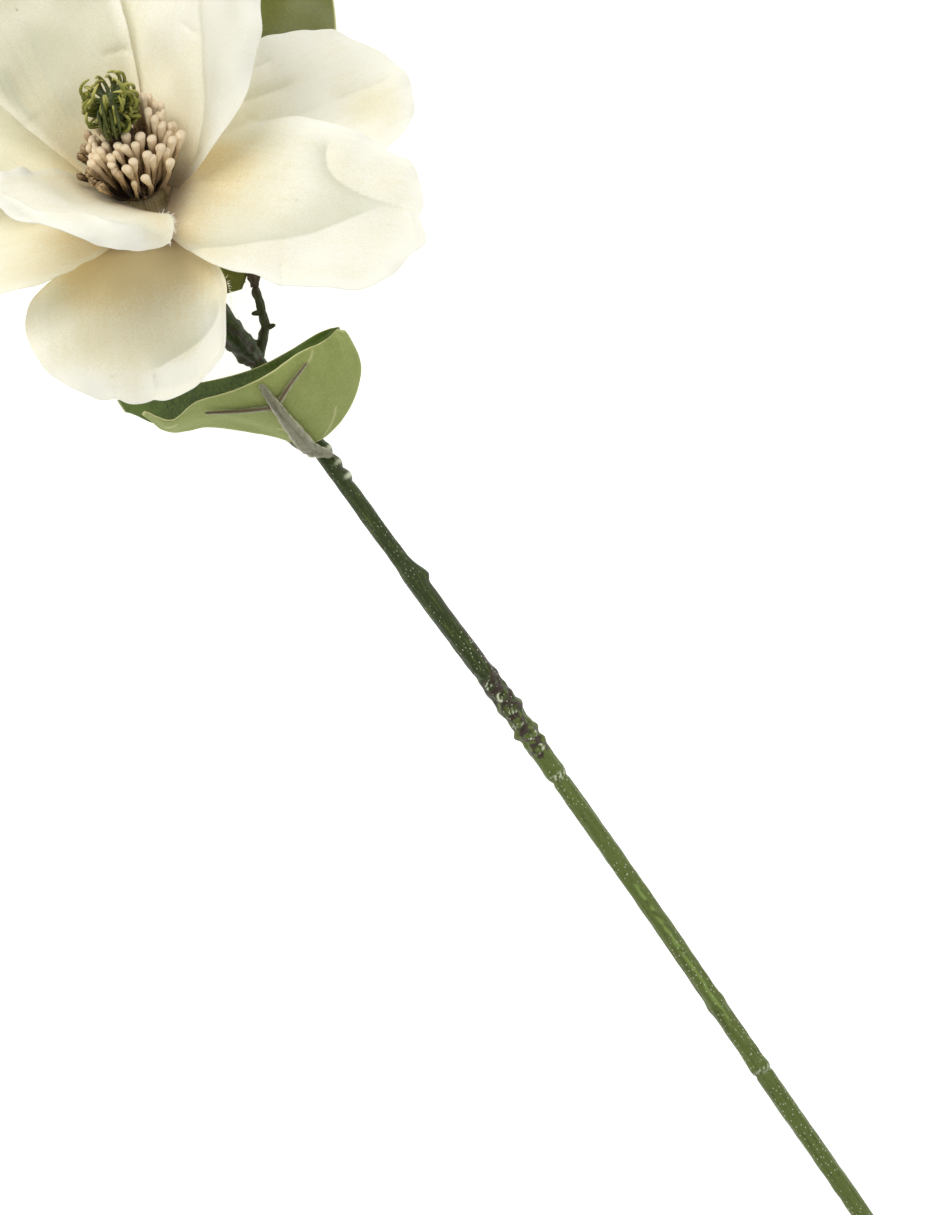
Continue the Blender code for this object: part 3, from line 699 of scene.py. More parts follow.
@dataclass(frozen=True)
class FloorPaper:
    """White paper that the flower lies on, lit a little from below so that shadows stay light."""

    colour: Colour = (0.95, 0.95, 0.95, 1.0)
    glow: float = 0.7
    fibres: float = 300.0
    grain_mm: float = 0.02

    def make(self) -> bpy.types.Material:
        """The material."""
        recipe = Recipe("floor_paper")
        fibre = recipe.noise(recipe.place(), self.fibres)
        return recipe.shade(Base_Color=self.colour, Roughness=0.9, Specular_IOR_Level=0.1,
                            Emission_Color=self.colour, Emission_Strength=self.glow,
                            Normal=recipe.bump(fibre, self.grain_mm))


# Blades


@dataclass(frozen=True)
class Fold:
    """A crease pressed into a blade along a line of flat places.

    Fields:
        line: the flat places that it runs through.
        height, width: of its ridge, or of its valley if the height is negative.
        crease_shade: how much painted shade lies along it, as a brown line.
        painted_shade: how much painted shade lies on its left, or on its right if it is negative.
        reach: how far from the line that painted shade reaches.
        samples: at how many places the line is read.
        fade, stub: how fast it comes up from its two ends, and how much of it is left at them.
        step: over what distance the shaded side begins.
    """

    line: Line
    height: float
    width: float
    crease_shade: float = 0.0
    painted_shade: float = 0.0
    reach: float = 8.0
    samples: int = 72
    fade: float = 5.0
    stub: float = 0.2
    step: float = 1.2

    def profile(self, x: Array, y: Array) -> tuple[Array, Array]:
        """exp(-distance / width), fading to nothing at both ends, and the painted shade, exp(-distance / reach), on
        the shaded side.
        """
        places = curve_through(self.line, self.samples)
        gap = np.hypot(x[..., None] - places[:, 0], y[..., None] - places[:, 1])
        near = gap.argmin(axis=-1)
        gap = gap.min(axis=-1)
        share = near / (self.samples - 1)
        ends = smooth(share * self.fade + self.stub) * smooth((1 - share) * self.fade + self.stub)
        heading = np.gradient(places, axis=0)[near]
        left = heading[..., 0] * (y - places[near, 1]) - heading[..., 1] * (x - places[near, 0])
        left = left / np.linalg.norm(heading, axis=-1) * np.sign(self.painted_shade)
        shade_grey = abs(self.painted_shade) * smooth(left / self.step + 0.5) * np.exp(-gap / self.reach)
        return np.exp(-gap / self.width) * ends, shade_grey * ends


@dataclass(frozen=True)
class Spot:
    """A soft oval mark on a blade, at a flat place: how far it pulls, lifts or stains is its strength."""

    at: Flat
    size: Flat
    strength: float

    def field(self, x: Array, y: Array) -> Array:
        """Strength times a bell of the distance in both directions."""
        return self.strength * bell(x - self.at[0], self.size[0]) * bell(y - self.at[1], self.size[1])


@dataclass(frozen=True)
class Blade:
    """A petal or leaf bent along its midrib, with what makes it look worn by hand, and with its painted light and
    shade.

    Fields:
        node: the solid that it stands for.
        azimuth, length, base, left, right, widest, claw, blunt: its flat outline and direction.
        root, height, rise, cup, roll, swing, curl, curl_on, wave: how it is bent.
        tint, shade_grey: how much warmer its fabric is all over, and how much painted shade lies over all of it.
        trim: a straight cut across the left side, as its distance from the midrib at the root and its slope.
        start: where a leaf's root is on the sheet. A petal's comes from the bloom.
        folds, notches, warm_and_lit, soiled_and_shaded, shaded_and_lit: its marks. Spots that make it warmer or
        paler, some of them painted light; brown spots of real marks and of painted shadow; spots of painted shade, or
        of painted light where they are negative.
        rim_roll: how far its rim is turned along its normal, in millimetres, on the left and the right.
    """

    node: str
    azimuth: float
    length: float
    base: float
    left: float
    right: float
    widest: float
    claw: float
    blunt: float
    root: float
    height: float
    rise: Series
    cup: Flat
    roll: Flat
    swing: float
    curl: Flat = (0.0, 0.0)
    curl_on: float = 0.6
    wave: float = 0.0
    start: Point = (0.0, 0.0, 0.0)
    tint: float = 0.2
    shade_grey: float = 0.0
    trim: Optional[Flat] = None
    folds: tuple[Fold, ...] = ()
    notches: tuple[Spot, ...] = ()
    warm_and_lit: tuple[Spot, ...] = ()
    soiled_and_shaded: tuple[Spot, ...] = ()
    shaded_and_lit: tuple[Spot, ...] = ()
    rim_roll: Flat = (0.0, 0.0)
    seed: int = 1

    CURVE_SAMPLES = 160
    CURVE_REACH = 1.06
    RISE_BLUR = 25
    SWING_POWER = 1.5
    SECTION_SAMPLES = 24
    CURL_FROM = 0.3
    RIM_FROM = 0.75
    RIM_POWER = 3
    WAVE_TURNS = (15.0, 5.0)

    def outline(self, along: Array, across: Array) -> tuple[Array, Array]:
        """Flat place of each point: a claw that widens to the widest line, then a rounded end."""
        half = np.where(across < 0, self.left, self.right)
        share = np.clip(along / self.widest, 0.0, 1.0)
        grown = 1.0 - (1.0 - share) ** self.claw
        end = np.clip((along - self.widest) / (1.0 - self.widest), 0.0, 1.0)
        width = self.base / 2 + (half - self.base / 2) * grown
        if self.trim:
            cut = self.trim[0] + self.trim[1] * along * self.length
            width = np.where(across < 0, np.minimum(width, cut), width)
        x_claw = across * width
        x_end = across * np.sqrt(1.0 - self.blunt * end ** 2 / 2) * half
        y_end = (self.widest + (1.0 - self.widest) * end * np.sqrt(1.0 - self.blunt * across ** 2 / 2)) * self.length
        in_end = along > self.widest
        return np.where(in_end, x_end, x_claw), np.where(in_end, y_end, along * self.length)

    def bent(self, x: Array, y: Array, origin: Any, axis: Any, east: Any) -> Array:
        """Flat places carried onto the bent blade.

        The midrib is the integral of its slope angle along its length. Across it the blade turns up by its cup
        angle and down by its curl angle, so a point lies at the mean cosine and sine of those angles.

        Args:
            x, y: the flat places.
            origin, axis, east: the root's centre, the direction it rises in and where azimuths start.

        Returns:
            Points on the sheet.
        """
        axis, east, north = basis(axis, east)
        half = np.where(x < 0, self.left, self.right)
        at = np.linspace(0.0, self.CURVE_REACH, self.CURVE_SAMPLES)
        slope = np.radians(np.interp(at, np.linspace(0, 1, len(self.rise)), self.rise))
        padded = np.pad(slope, self.RISE_BLUR // 2, mode="edge")
        slope = np.convolve(padded, np.ones(self.RISE_BLUR) / self.RISE_BLUR, mode="valid")
        turn = np.radians(self.azimuth + self.swing * at ** self.SWING_POWER)
        out = np.cos(turn)[:, None] * east + np.sin(turn)[:, None] * north
        tangent = np.cos(slope)[:, None] * out + np.sin(slope)[:, None] * axis
        normal = -np.sin(slope)[:, None] * out + np.cos(slope)[:, None] * axis
        side = np.cross(tangent, normal)
        steps = (tangent[1:] + tangent[:-1]) / 2 * (at[1] - at[0]) * self.length
        midrib = np.vstack([np.zeros(3), np.cumsum(steps, axis=0)])
        midrib = midrib + np.asarray(origin) + self.root * out[0] + self.height * axis
        roll = np.radians(self.roll[0] + (self.roll[1] - self.roll[0]) * at)[:, None]
        side, normal = np.cos(roll) * side + np.sin(roll) * normal, np.cos(roll) * normal - np.sin(roll) * side
        station = np.clip(y / self.length, 0.0, self.CURVE_REACH)
        here = [np.stack([np.interp(station, at, line[:, k]) for k in range(3)], axis=-1)
                for line in (midrib, side, normal)]
        share = (np.arange(self.SECTION_SAMPLES) + 0.5) / self.SECTION_SAMPLES
        reach = np.abs(x / half)[..., None] * share
        cup = np.radians(self.cup[0] + (self.cup[1] - self.cup[0]) * station)[..., None]
        curl = np.where(x < 0, *np.radians(self.curl)) * smooth(station / self.CURL_FROM)
        bend = cup * reach - curl[..., None] * beyond(reach, self.curl_on)
        across_mm = x * np.cos(bend).mean(axis=-1)
        lift = np.abs(x) * np.sin(bend).mean(axis=-1)
        rim = np.maximum(reach[..., -1], beyond(station, self.RIM_FROM)) ** self.RIM_POWER
        lift = lift + self.wave * rim * np.sin(self.WAVE_TURNS[0] * station + self.WAVE_TURNS[1] * x / half)
        return here[0] + across_mm[..., None] * here[1] + lift[..., None] * here[2]


@dataclass(frozen=True)
class Fray:
    """Loose threads on a stretch of a petal's left margin.

    Fields:
        stretch: where it begins and ends, by shares of the petal's length.
        length, radius: the range of the threads' lengths, and how thick they are.
        patch: how much of the flat map a thread takes, round it and along it.
        steps: how far inside the margin a thread is rooted, and how far outside it its heading is read.
        strewn, bowed: how far the threads turn from that heading, and how much they bow.
        rings, sides: how finely a thread is made.
    """

    node: str
    stretch: Flat
    count: int
    length: Flat = (0.6, 1.9)
    radius: float = 0.11
    patch: Flat = (0.01, 0.02)
    steps: Flat = (0.5, -1.0)
    strewn: float = 0.45
    bowed: float = 0.4
    rings: int = 6
    sides: int = 4
    seed: int = 71

    def build(self, bloom: "Bloom", blade: Blade, finish: bpy.types.Material) -> None:
        """Makes the threads: route = root + t length out + t^2 bend, the outs strewn round the petal's own.

        Args:
            bloom: the bloom that the petal is in.
            blade: the petal.
            finish: its fabric.
        """
        draw = np.random.default_rng(self.seed)
        along = draw.uniform(*self.stretch, self.count)
        x, y = blade.outline(along, -np.ones(self.count))
        root, past = (blade.bent(x + step, y, bloom.centre, bloom.axis, bloom.east) for step in self.steps)
        out = unit(unit(past - root) + self.strewn * draw.standard_normal((self.count, 3)))
        bend = self.bowed * draw.standard_normal((self.count, 3))
        length = draw.uniform(*self.length, self.count)[:, None]
        t = np.linspace(0.0, 1.0, self.rings)
        route = root[:, None] + (t * length)[..., None] * out[:, None] + t[:, None] ** 2 * bend[:, None]
        rings = sweep(route, self.radius * (1 - 0.5 * t) + 0 * length, self.sides, SKEW)
        surface = Surface()
        plain = np.zeros((self.count, self.rings))
        add_tubes(surface, rings, self.patch[0], t * self.patch[1], {"warmth_and_light": plain, "soil_and_shade": plain, "shade": plain})
        put(surface.piece(self.node + "_threads", finish), Slot.PETAL, self.node)


@dataclass(frozen=True)
class BladeGrid:
    """The places that a blade is read at: closer together near its rim.

    Fields:
        rows, columns: how many there are along the blade and across it.
        crowd: how much closer the rows come at its tip.
        square: how close to the rim the edge value stays low; the higher it is, the closer.
    """

    rows: int = 128
    columns: int = 104
    crowd: float = 1.4
    square: int = 8

    def places(self, blade: Blade) -> tuple[Array, Array, Array, Array, Array]:
        """The places on one blade.

        Shares along are 1 - (1 - s)^crowd, and across 1.5 s - 0.5 s^3. The edge is (across^8 + end^8)^(1/8).

        Args:
            blade: the blade whose outline they fill.

        Returns:
            Five grids: shares along and across the blade, flat x and y, and the edge value, 1 at the rim.
        """
        down = 1.0 - (1.0 - np.linspace(0, 1, self.rows)) ** self.crowd
        over = np.linspace(-1, 1, self.columns)
        along, across = np.meshgrid(down, 1.5 * over - 0.5 * over ** 3, indexing="ij")
        end = np.clip((along - blade.widest) / (1.0 - blade.widest), 0.0, 1.0)
        edge = np.minimum((np.abs(across) ** self.square + end ** self.square) ** (1 / self.square), 1.0)
        return along, across, *blade.outline(along, across), edge


@dataclass(frozen=True)
class Bloom:
    """The open bloom: its nine petals round the receptacle.

    Fields:
        centre, axis, east: where it is, where it faces, and the direction that azimuths start from.
        thick, rim_thick: thickness of a petal inside and at its rim.
        hub: the share of a petal's length that its notches pull towards.
        fringe, hollows, veins, rim_waves: wavelengths and height of the unevenness of the outline, of the soft
            hollows, of the length veins and of the waves along the rim.
        base_warmth, root_shade: how much warmer the base is and how much painted shade lies at the root, and up to
            which share of the length.
        rim_pale: how much paler the rim is, and from which edge value.
        shade_to, roll_from: the edge value at which the overall painted shade fades, and from which the rim is
            rolled.
    """

    petals: tuple[Blade, ...]
    centre: Point = (2.5, -3.2, 66.0)
    axis: Point = (-0.18, 0.68, 0.71)
    east: Point = (0.984, 0.124, 0.130)
    thick: float = 0.7
    rim_thick: float = 0.34
    grid: BladeGrid = BladeGrid()
    hub: float = 0.55
    fringe: Waves = ((15.0, 15.0), 0.2)
    hollows: Waves = ((26.0, 34.0), 0.5)
    veins: Waves = ((3.2, 60.0), 0.05)
    rim_waves: Waves = ((17.0, 17.0), 0.55)
    base_warmth: Flat = (0.75, 0.6)
    root_shade: Flat = (0.8, 0.16)
    rim_pale: Flat = (0.25, 0.75)
    shade_to: float = 0.8
    roll_from: float = 0.82
    frays: tuple[Fray, ...] = (
        Fray("petal_inner_front", (0.04, 0.25), 90), Fray("petal_outer_bottom", (0.34, 0.56), 26, (0.4, 1.1)))

    def build(self) -> None:
        """Makes every petal and its loose threads."""
        finish = PetalFabric().make()
        for blade in self.petals:
            surface = Surface()
            self.add_petal(surface, blade)
            put(surface.piece(blade.node + "_fabric", finish), Slot.PETAL, blade.node)
        for fray in self.frays:
            fray.build(self, next(blade for blade in self.petals if blade.node == fray.node), finish)

    def add_petal(self, surface: Surface, blade: Blade) -> None:
        """Adds one petal: its outline pulled in at the notches, then relief along the normals of the bent blade."""
        along, across, x, y, edge = self.grid.places(blade)
        fringe = Ripple(blade.seed + 50, *self.fringe)(x, y) * smooth((along - 0.2) / 0.3) * edge ** 10
        pull = total(x, [notch.field(x, y) for notch in blade.notches]) * edge ** 4 + fringe
        hub = self.hub * blade.length
        away = np.hypot(x, y - hub) + 1e-6
        x, y = x - pull * x / away, y - pull * (y - hub) / away
        middle = blade.bent(x, y, self.centre, self.axis, self.east)
        folds = [fold.profile(x, y) for fold in blade.folds]
        lines, fold_shades = [line for line, _ in folds], [shade_grey for _, shade_grey in folds]
        relief = self.relief(blade, x, y, along, across, edge)
        relief = relief + smooth(along / 0.06) * total(x, lines, [fold.height for fold in blade.folds])
        middle = middle - grid_normals(middle) * relief[..., None]
        thickness = self.rim_thick + (self.thick - self.rim_thick) * (1 - edge ** 12)
        middle[..., 2] = np.maximum(middle[..., 2], thickness / 2)
        share = y / blade.length
        warmth_and_light = blade.tint + self.base_warmth[0] * (1 - smooth(share / self.base_warmth[1]))
        warmth_and_light = warmth_and_light - self.rim_pale[0] * beyond(edge, self.rim_pale[1])
        # Spots that lower this value make the cloth paler, some of them as painted light.
        warmth_and_light = warmth_and_light + total(x, [spot.field(x, y) for spot in blade.warm_and_lit])
        # Painted shade at the root, then brown marks and painted shadows, then painted shade along the creases.
        soil_and_shade = self.root_shade[0] * (1 - smooth(share / self.root_shade[1]))
        soil_and_shade = soil_and_shade + total(x, [spot.field(x, y) for spot in blade.soiled_and_shaded])
        soil_and_shade = soil_and_shade + total(x, [line ** 2 for line in lines], [fold.crease_shade for fold in blade.folds])
        # Painted shade over the whole petal, on one side of folds and in spots; negative spots paint light.
        shade = blade.shade_grey * (1 - beyond(edge, self.shade_to))
        shade = shade + total(x, fold_shades + [spot.field(x, y) for spot in blade.shaded_and_lit])
        add_shell(surface, middle, thickness, (x, y), {"warmth_and_light": warmth_and_light, "soil_and_shade": soil_and_shade, "shade": shade})

    def relief(self, blade: Blade, x: Array, y: Array, along: Array, across: Array,
               edge: Array) -> Array:
        """How far each point stands off towards the bloom's inside: soft hollows, length veins and rim waves.

        Args:
            blade: the petal, which sets the seeds and how far its rim is rolled.
            x, y, along, across, edge: its places, as its grid gives them.

        Returns:
            The relief in millimetres, none at the petal's root.
        """
        soft = Ripple(blade.seed, *self.hollows)(x, y)
        veins = Ripple(blade.seed + 7, *self.veins)(x, y)
        waves = Ripple(blade.seed + 13, *self.rim_waves)(x, y) * edge ** 6
        rolled = np.where(across < 0, *blade.rim_roll) * beyond(edge, self.roll_from) ** 2
        return smooth((along - 0.12) / 0.3) * (soft + veins + waves + rolled)


PETALS = (
    # Painted shade over the whole petal, along its small crease and on one side of two of its folds.
    Blade(
        "petal_inner_top_left", azimuth=123.6, length=106.3, base=15.2, left=31.9, right=30.5, widest=0.67,
        claw=1.5, blunt=0.9, root=9.3, height=-1.9, rise=(51, 51, 49, 42), cup=(27, 21), roll=(6.9, 7),
        swing=3, tint=0.42, shade_grey=0.5, seed=101,
        folds=(Fold(((13, 41.6), (18.8, 40.5), (22.4, 39.4)), -1.4, 0.9, 0.55),
               Fold(((-6, 24), (-7.5, 45), (-4, 66)), -0.9, 3, 0, -0.2, 6),
               Fold(((-18.3, 33.8), (-19.4, 42.3), (-18.3, 57.4)), 0.9, 3.5, 0, 0.25, 6),
               Fold(((9, 20), (12, 40), (13, 58)), 0.5, 3.5)),
        soiled_and_shaded=(Spot((-4, 69.4), (0.7, 0.7), 0.8),)),
    # Painted shade: a little over the whole petal, along two creases, on one side of the long fold and over the
    # curled band.
    Blade(
        "petal_inner_top_right", azimuth=62, length=100, base=21.7, left=35.5, right=37, widest=0.53,
        claw=2.06, blunt=0.9, root=8.6, height=-4, rise=(49, 52, 49, 43), cup=(19, 24), roll=(7.8, 11.3),
        swing=1.6, curl=(0, 75), curl_on=0.55, tint=0.24, shade_grey=0.1, seed=102,
        folds=(Fold(((7.9, 70), (7.9, 63.7), (11.6, 47.2), (16.5, 27.6), (16.2, 16.1), (15.4, 9)),
                    -1.7, 2, 0.05, 0.3, 4),
               Fold(((0.8, 55.6), (5.1, 53.6), (8.8, 52.3)), -0.8, 0.9, 0.2),
               Fold(((-9, 15), (-10, 40), (-12, 62)), 0.4, 3)),
        warm_and_lit=(Spot((24, 45), (9, 40), -0.5),), shaded_and_lit=(Spot((25, 50), (9, 34), 0.25),)),
    # Painted shade over the whole petal.
    Blade(
        "petal_inner_left", azimuth=156.1, length=95.2, base=16.1, left=30.2, right=29.2, widest=0.64,
        claw=1.55, blunt=0.89, root=10.4, height=-4.9, rise=(27, 19, 9, -3), cup=(19, 14), roll=(-6.4, 3.6),
        swing=0.1, tint=0.4, shade_grey=0.4, seed=103,
        folds=(Fold(((3, 20), (5, 40), (2, 62)), -0.7, 2.5),)),
    # Painted shade: a thin shadow along the fold of the curled band, and two patches on that band.
    Blade(
        "petal_inner_front", azimuth=242.6, length=75.2, base=24.2, left=34.5, right=21.8, widest=0.32,
        claw=2.39, blunt=0.9, root=8.6, height=-0.1, rise=(44, 39, 37, 44), cup=(34, 13), roll=(8.1, 11.4),
        swing=-7.7, curl=(95, 0), curl_on=0.5, tint=0.24, trim=(11, 1.25), seed=104,
        folds=(Fold(((10.3, 60), (-0.1, 61), (-9.6, 58.4), (-14.8, 45.5), (-21.2, 42.5), (-24.7, 38.5),
                     (-27.7, 30.8), (-31.5, 20)), 1.5, 1.5, 0.03, 0.35, 3),),
        warm_and_lit=(Spot((-29, 50), (9, 16), -0.5), Spot((-8, 68), (14, 6), -0.4)),
        shaded_and_lit=(Spot((-6, 66), (12, 5), 0.35), Spot((-28, 48), (9, 18), 0.3))),
    # Painted shade: a little over the whole petal, along its creases, on one side of its two long folds and in a
    # patch near the rim.
    Blade(
        "petal_outer_right", azimuth=-11.3, length=88.9, base=22.7, left=36, right=34.5, widest=0.51,
        claw=2.27, blunt=0.79, root=8.6, height=-5.3, rise=(5, -11, -12, -13), cup=(21, 8),
        roll=(-11.8, -12), swing=0.1, wave=0.6, tint=0.16, shade_grey=0.12, seed=105, rim_roll=(-0.3, 0.5),
        folds=(Fold(((-29.5, 50.5), (-24.5, 50.5), (-18.5, 53), (-14, 58.5), (-10, 69.3), (-7.8, 84)),
                    -1.9, 2.4, 0.02, -0.4, 6),
               Fold(((26, 8), (21.6, 27.5), (18.1, 37.2), (12.2, 49.4), (3.5, 61.3), (-7.5, 75.5)),
                    1.6, 3.5, 0, 0.55, 11),
               Fold(((-7.8, 82.2), (-1, 86), (5.2, 88.8)), 0.9, 1.4, 0.08),
               Fold(((-8.1, 10), (-8.6, 18), (-8.3, 28.5)), -0.6, 0.7, 0.35),
               Fold(((21.4, 45), (28, 46.5), (35, 48.6)), -0.7, 0.6, 0.4)),
        notches=(Spot((-31, 74), (7, 6), 2.6), Spot((5, 89), (4.5, 5), -2.6),
                 Spot((-6, 88), (4, 5), 1.6), Spot((34, 37.5), (6, 8), 2.2)),
        warm_and_lit=(Spot((-14, 20), (12, 16), 0.25),),
        shaded_and_lit=(Spot((-26, 66), (8, 12), 0.12),),
        soiled_and_shaded=(Spot((-3.4, 45.1), (0.9, 0.5), 0.6),)),
    # Painted shade along its creases, on one side of its folds, and in a brown spot where the right petal lies
    # against it.
    Blade(
        "petal_outer_upper_right", azimuth=39.4, length=102.1, base=19.7, left=35.1, right=31.6, widest=0.57,
        claw=1.49, blunt=0.96, root=9, height=-10, rise=(7, -1, -8, -12), cup=(12, 2),
        roll=(-18.1, -19.9), swing=-3.4, wave=0.6, tint=0.14, seed=106,
        folds=(Fold(((-16.5, 40), (-15.9, 44), (-14.6, 50.4), (-13.6, 57.2), (-12.7, 68)),
                    -1.8, 2, 0.1, 0.35, 6),
               Fold(((-27.5, 48), (-25.8, 55.5), (-24.5, 64)), -1, 1.8, 0.08, 0.2, 4),
               Fold(((-10.7, 40.2), (-4.5, 45.3), (0, 56), (2, 68)), -0.8, 2.5, 0.03, 0.15, 7),
               Fold(((0.4, 70), (0.1, 83.7), (1, 91), (1.4, 98)), -1.4, 2.2, 0.03, 0.2, 7)),
        warm_and_lit=(Spot((-12, 50), (8, 12), 0.2), Spot((9, 82), (8, 12), 0.35)),
        soiled_and_shaded=(Spot((-8, 42), (3, 6), 0.18),)),
    # Painted shade over the whole petal, along its two creases at the rim and inside the rolled rim, and a brown
    # painted shadow of the front petal near the root. Painted light: the spots that make it paler and less shaded
    # whiten the rolled rim and the margins beside it.
    Blade(
        "petal_outer_bottom", azimuth=267.2, length=59.3, base=21, left=32.1, right=42.1, widest=0.48,
        claw=2.14, blunt=0.98, root=10.9, height=-10.8, rise=(-25, -32, -39, -46), cup=(13, 21),
        roll=(-9.1, 3.6), swing=-1.1, tint=0.66, shade_grey=0.3, seed=107, rim_roll=(2.6, 0.5),
        folds=(Fold(((-1.2, 49), (-1.4, 53), (-1.2, 58)), -1, 0.7, 0.4, 0.3, 2.5),
               Fold(((13.2, 48), (13, 53), (12.9, 58)), -0.8, 0.7, 0.3),
               Fold(((-27.5, 27), (-25.5, 33), (-20, 38.5), (-13.5, 42.5), (-6, 46), (0.5, 49)),
                    -1.3, 2.6, 0, -0.4, 7),
               Fold(((2, 10), (4, 28), (3, 46)), -0.6, 3)),
        notches=(Spot((12.9, 57.1), (3, 5), 1.3), Spot((-1.2, 58), (2.5, 4), 0.8)),
        soiled_and_shaded=(Spot((-11, 8), (9, 9), 0.42), Spot((6, 26), (9, 16), 0.1)),
        warm_and_lit=(Spot((-25, 42), (8, 12), -1.1), Spot((-10, 54), (12, 9), -1.1),
              Spot((34, 26), (8, 20), -0.5), Spot((22, 52), (15, 10), -0.7)),
        shaded_and_lit=(Spot((-26, 42), (8, 12), -0.35), Spot((-10, 54), (12, 9), -0.35),
                Spot((22, 52), (15, 10), -0.3))),
    Blade(
        "petal_outer_left", azimuth=189.3, length=91.6, base=20.3, left=36.4, right=35.2, widest=0.58,
        claw=1.92, blunt=0.89, root=8.6, height=-8.1, rise=(6, 1, -11, -27), cup=(14, 18), roll=(9, -6.6),
        swing=-1.9, tint=0.26, seed=108,
        notches=(Spot((-22.6, 15.2), (3, 3), 1.2),)),
    Blade(
        "petal_outer_back", azimuth=110, length=92, base=17, left=31, right=31, widest=0.6,
        claw=1.8, blunt=0.9, root=9, height=-11, rise=(16, 10, 5, 3), cup=(16, 10), roll=(0, 0),
        swing=0, tint=0.25, seed=109),
)


# Heart of the bloom


@dataclass(frozen=True)
class Heart:
    """What stands in the middle of the bloom: the cup below it, the stamens and the pistil.

    Fields:
        cup: heights along the bloom's axis and radii of the receptacle.
        core: the same of the core that the stamens stand on.
        stamens, fine_stamens: how many there are in the solid, and how many more here.
        slim: how thick a filament is beside the solid's.
        stamen_radius, club_radius, club_length: thickness of a filament and of its head, and the head's length.
        spread, tip, root, stamen_base, stamen_bend: how far out and up they reach, from the outermost to the
            innermost, where they start, and the powers that bend them.
        lift, lift_at: how much further out and up they stand on the far side, and where that is.
        brown_at: the side whose outer stamens are brown all along.
        scatter: how far each one strays in azimuth, outwards and upwards.
        pistil_core, pistil_shift, styles, style_reach: the pistil, which stands a little to the left.
        fine_styles, fine_reach: how many more styles there are here, and how much longer they are.
        style_scatter, style_sink, style_hook, style_radii: range of their lengths, how deep they start, how far
            they hook over, and their thickness from root to tip.
        spikes: the straight green blades in front of it, by azimuth, height and length.
        stalk_rings, head_rings, style_rings, spike_rings: how finely they are made along their length.
        stamen_sides, slim_sides: and round it, the second for styles and blades.
    """

    bloom: Bloom
    cup: Line = ((-14.2, 4.0), (-12.0, 6.0), (-9.0, 7.8), (-1.5, 7.8), (0.2, 6.6))
    core: Line = ((0.6, 6.4), (4.0, 6.0), (12.0, 4.4), (24.8, 4.0))
    stamens: int = 45
    fine_stamens: int = 36
    slim: float = 0.78
    stamen_radius: float = 0.95
    club_radius: float = 1.5
    club_length: float = 7.0
    spread: Flat = (16.2, 9.2)
    tip: Flat = (18.0, 26.5)
    root: Flat = (1.6, 2.6)
    stamen_base: Flat = (6.4, 3.0)
    stamen_bend: Flat = (1.3, 0.75)
    lift: Flat = (3.0, 5.0)
    lift_at: float = math.radians(45.0)
    brown_at: float = math.radians(205.0)
    scatter: tuple[float, float, float] = (0.08, 0.6, 1.2)
    pistil_core: Line = ((25.6, 3.4), (29.2, 5.4), (34.2, 6.2), (38.5, 4.8), (41.5, 1.6))
    pistil_shift: float = 0.8
    styles: int = 40
    fine_styles: int = 36
    fine_reach: float = 1.15
    style_reach: float = 5.4
    style_scatter: Flat = (0.8, 1.2)
    style_sink: float = 1.5
    style_hook: float = math.radians(235.0)
    style_radii: Series = (0.95, 0.85, 0.75, 0.65, 0.45)
    spikes: Route = (
        (-110.0, 29.5, 13.0), (-97.0, 30.5, 16.0), (-86.0, 29.0, 13.0), (-74.0, 31.0, 12.0), (-104.0, 28.5, 10.0))
    stalk_rings: int = 14
    head_rings: int = 14
    style_rings: int = 22
    spike_rings: int = 18
    stamen_sides: int = 12
    slim_sides: int = 10

    STALK_SHARE = 0.75  # of a stamen's length, for its paints
    STALK_FLAT = 20.0   # length of a filament on the flat map, in millimetres
    STYLE_FLAT = 12.0   # and of a style

    def at(self, height: Any, radius: Any, azimuth: Any) -> Array:
        """Sheet points at heights on the bloom's axis, distances from it and azimuths round it."""
        axis, east, north = basis(self.bloom.axis, self.bloom.east)
        height, radius, azimuth = (np.asarray(value, float)[..., None] for value in (height, radius, azimuth))
        out = np.cos(azimuth) * east + np.sin(azimuth) * north
        return np.asarray(self.bloom.centre) + height * axis + radius * out

    def sideways(self, azimuth: Array) -> Array:
        """The direction square to the plane that an azimuth and the axis span."""
        _, east, north = basis(self.bloom.axis, self.bloom.east)
        return -np.sin(azimuth)[..., None] * east + np.cos(azimuth)[..., None] * north

    def add_spikes(self, surface: Surface, beside: Array) -> None:
        """Adds the straight blades: flattened tubes that rise along the pistil's front to a point.

        They stand 8.2 + 1.6 sin 2.4 t out from the axis. Each is thick in its middle, by sin(pi t)^0.7, and 0.55
        as thick one way as the other.

        Args:
            surface: what they are added to.
            beside: how far the pistil stands from the axis.
        """
        azimuth, height, length = np.radians([s[0] for s in self.spikes]), *np.array(self.spikes).T[1:]
        t = np.linspace(0.0, 1.0, self.spike_rings)[None, :]
        out = 8.2 + 1.6 * np.sin(t * 2.4)
        none = 0 * t + 0 * height[:, None]
        route = self.at(height[:, None] + length[:, None] * t, out + none, azimuth[:, None] + 0.1 * t) + beside
        thick = (0.25 + 0.75 * np.sin(math.pi * np.clip(t * 0.95 + 0.05, 0, 1)) ** 0.7)[..., None]
        oval = 0.55 + 0.45 * np.abs(np.sin(ring_angles(self.slim_sides)))
        radii = np.broadcast_to(thick * oval, none.shape + oval.shape)
        rings = sweep(route, radii, self.slim_sides, self.sideways(azimuth)[:, None, :])
        paints = {"dark": none + 0.9, "pale": none + 0.25 * t, "stain_and_shade": none}
        add_tubes(surface, rings, 2 * math.pi, t[0] * self.STYLE_FLAT, paints)

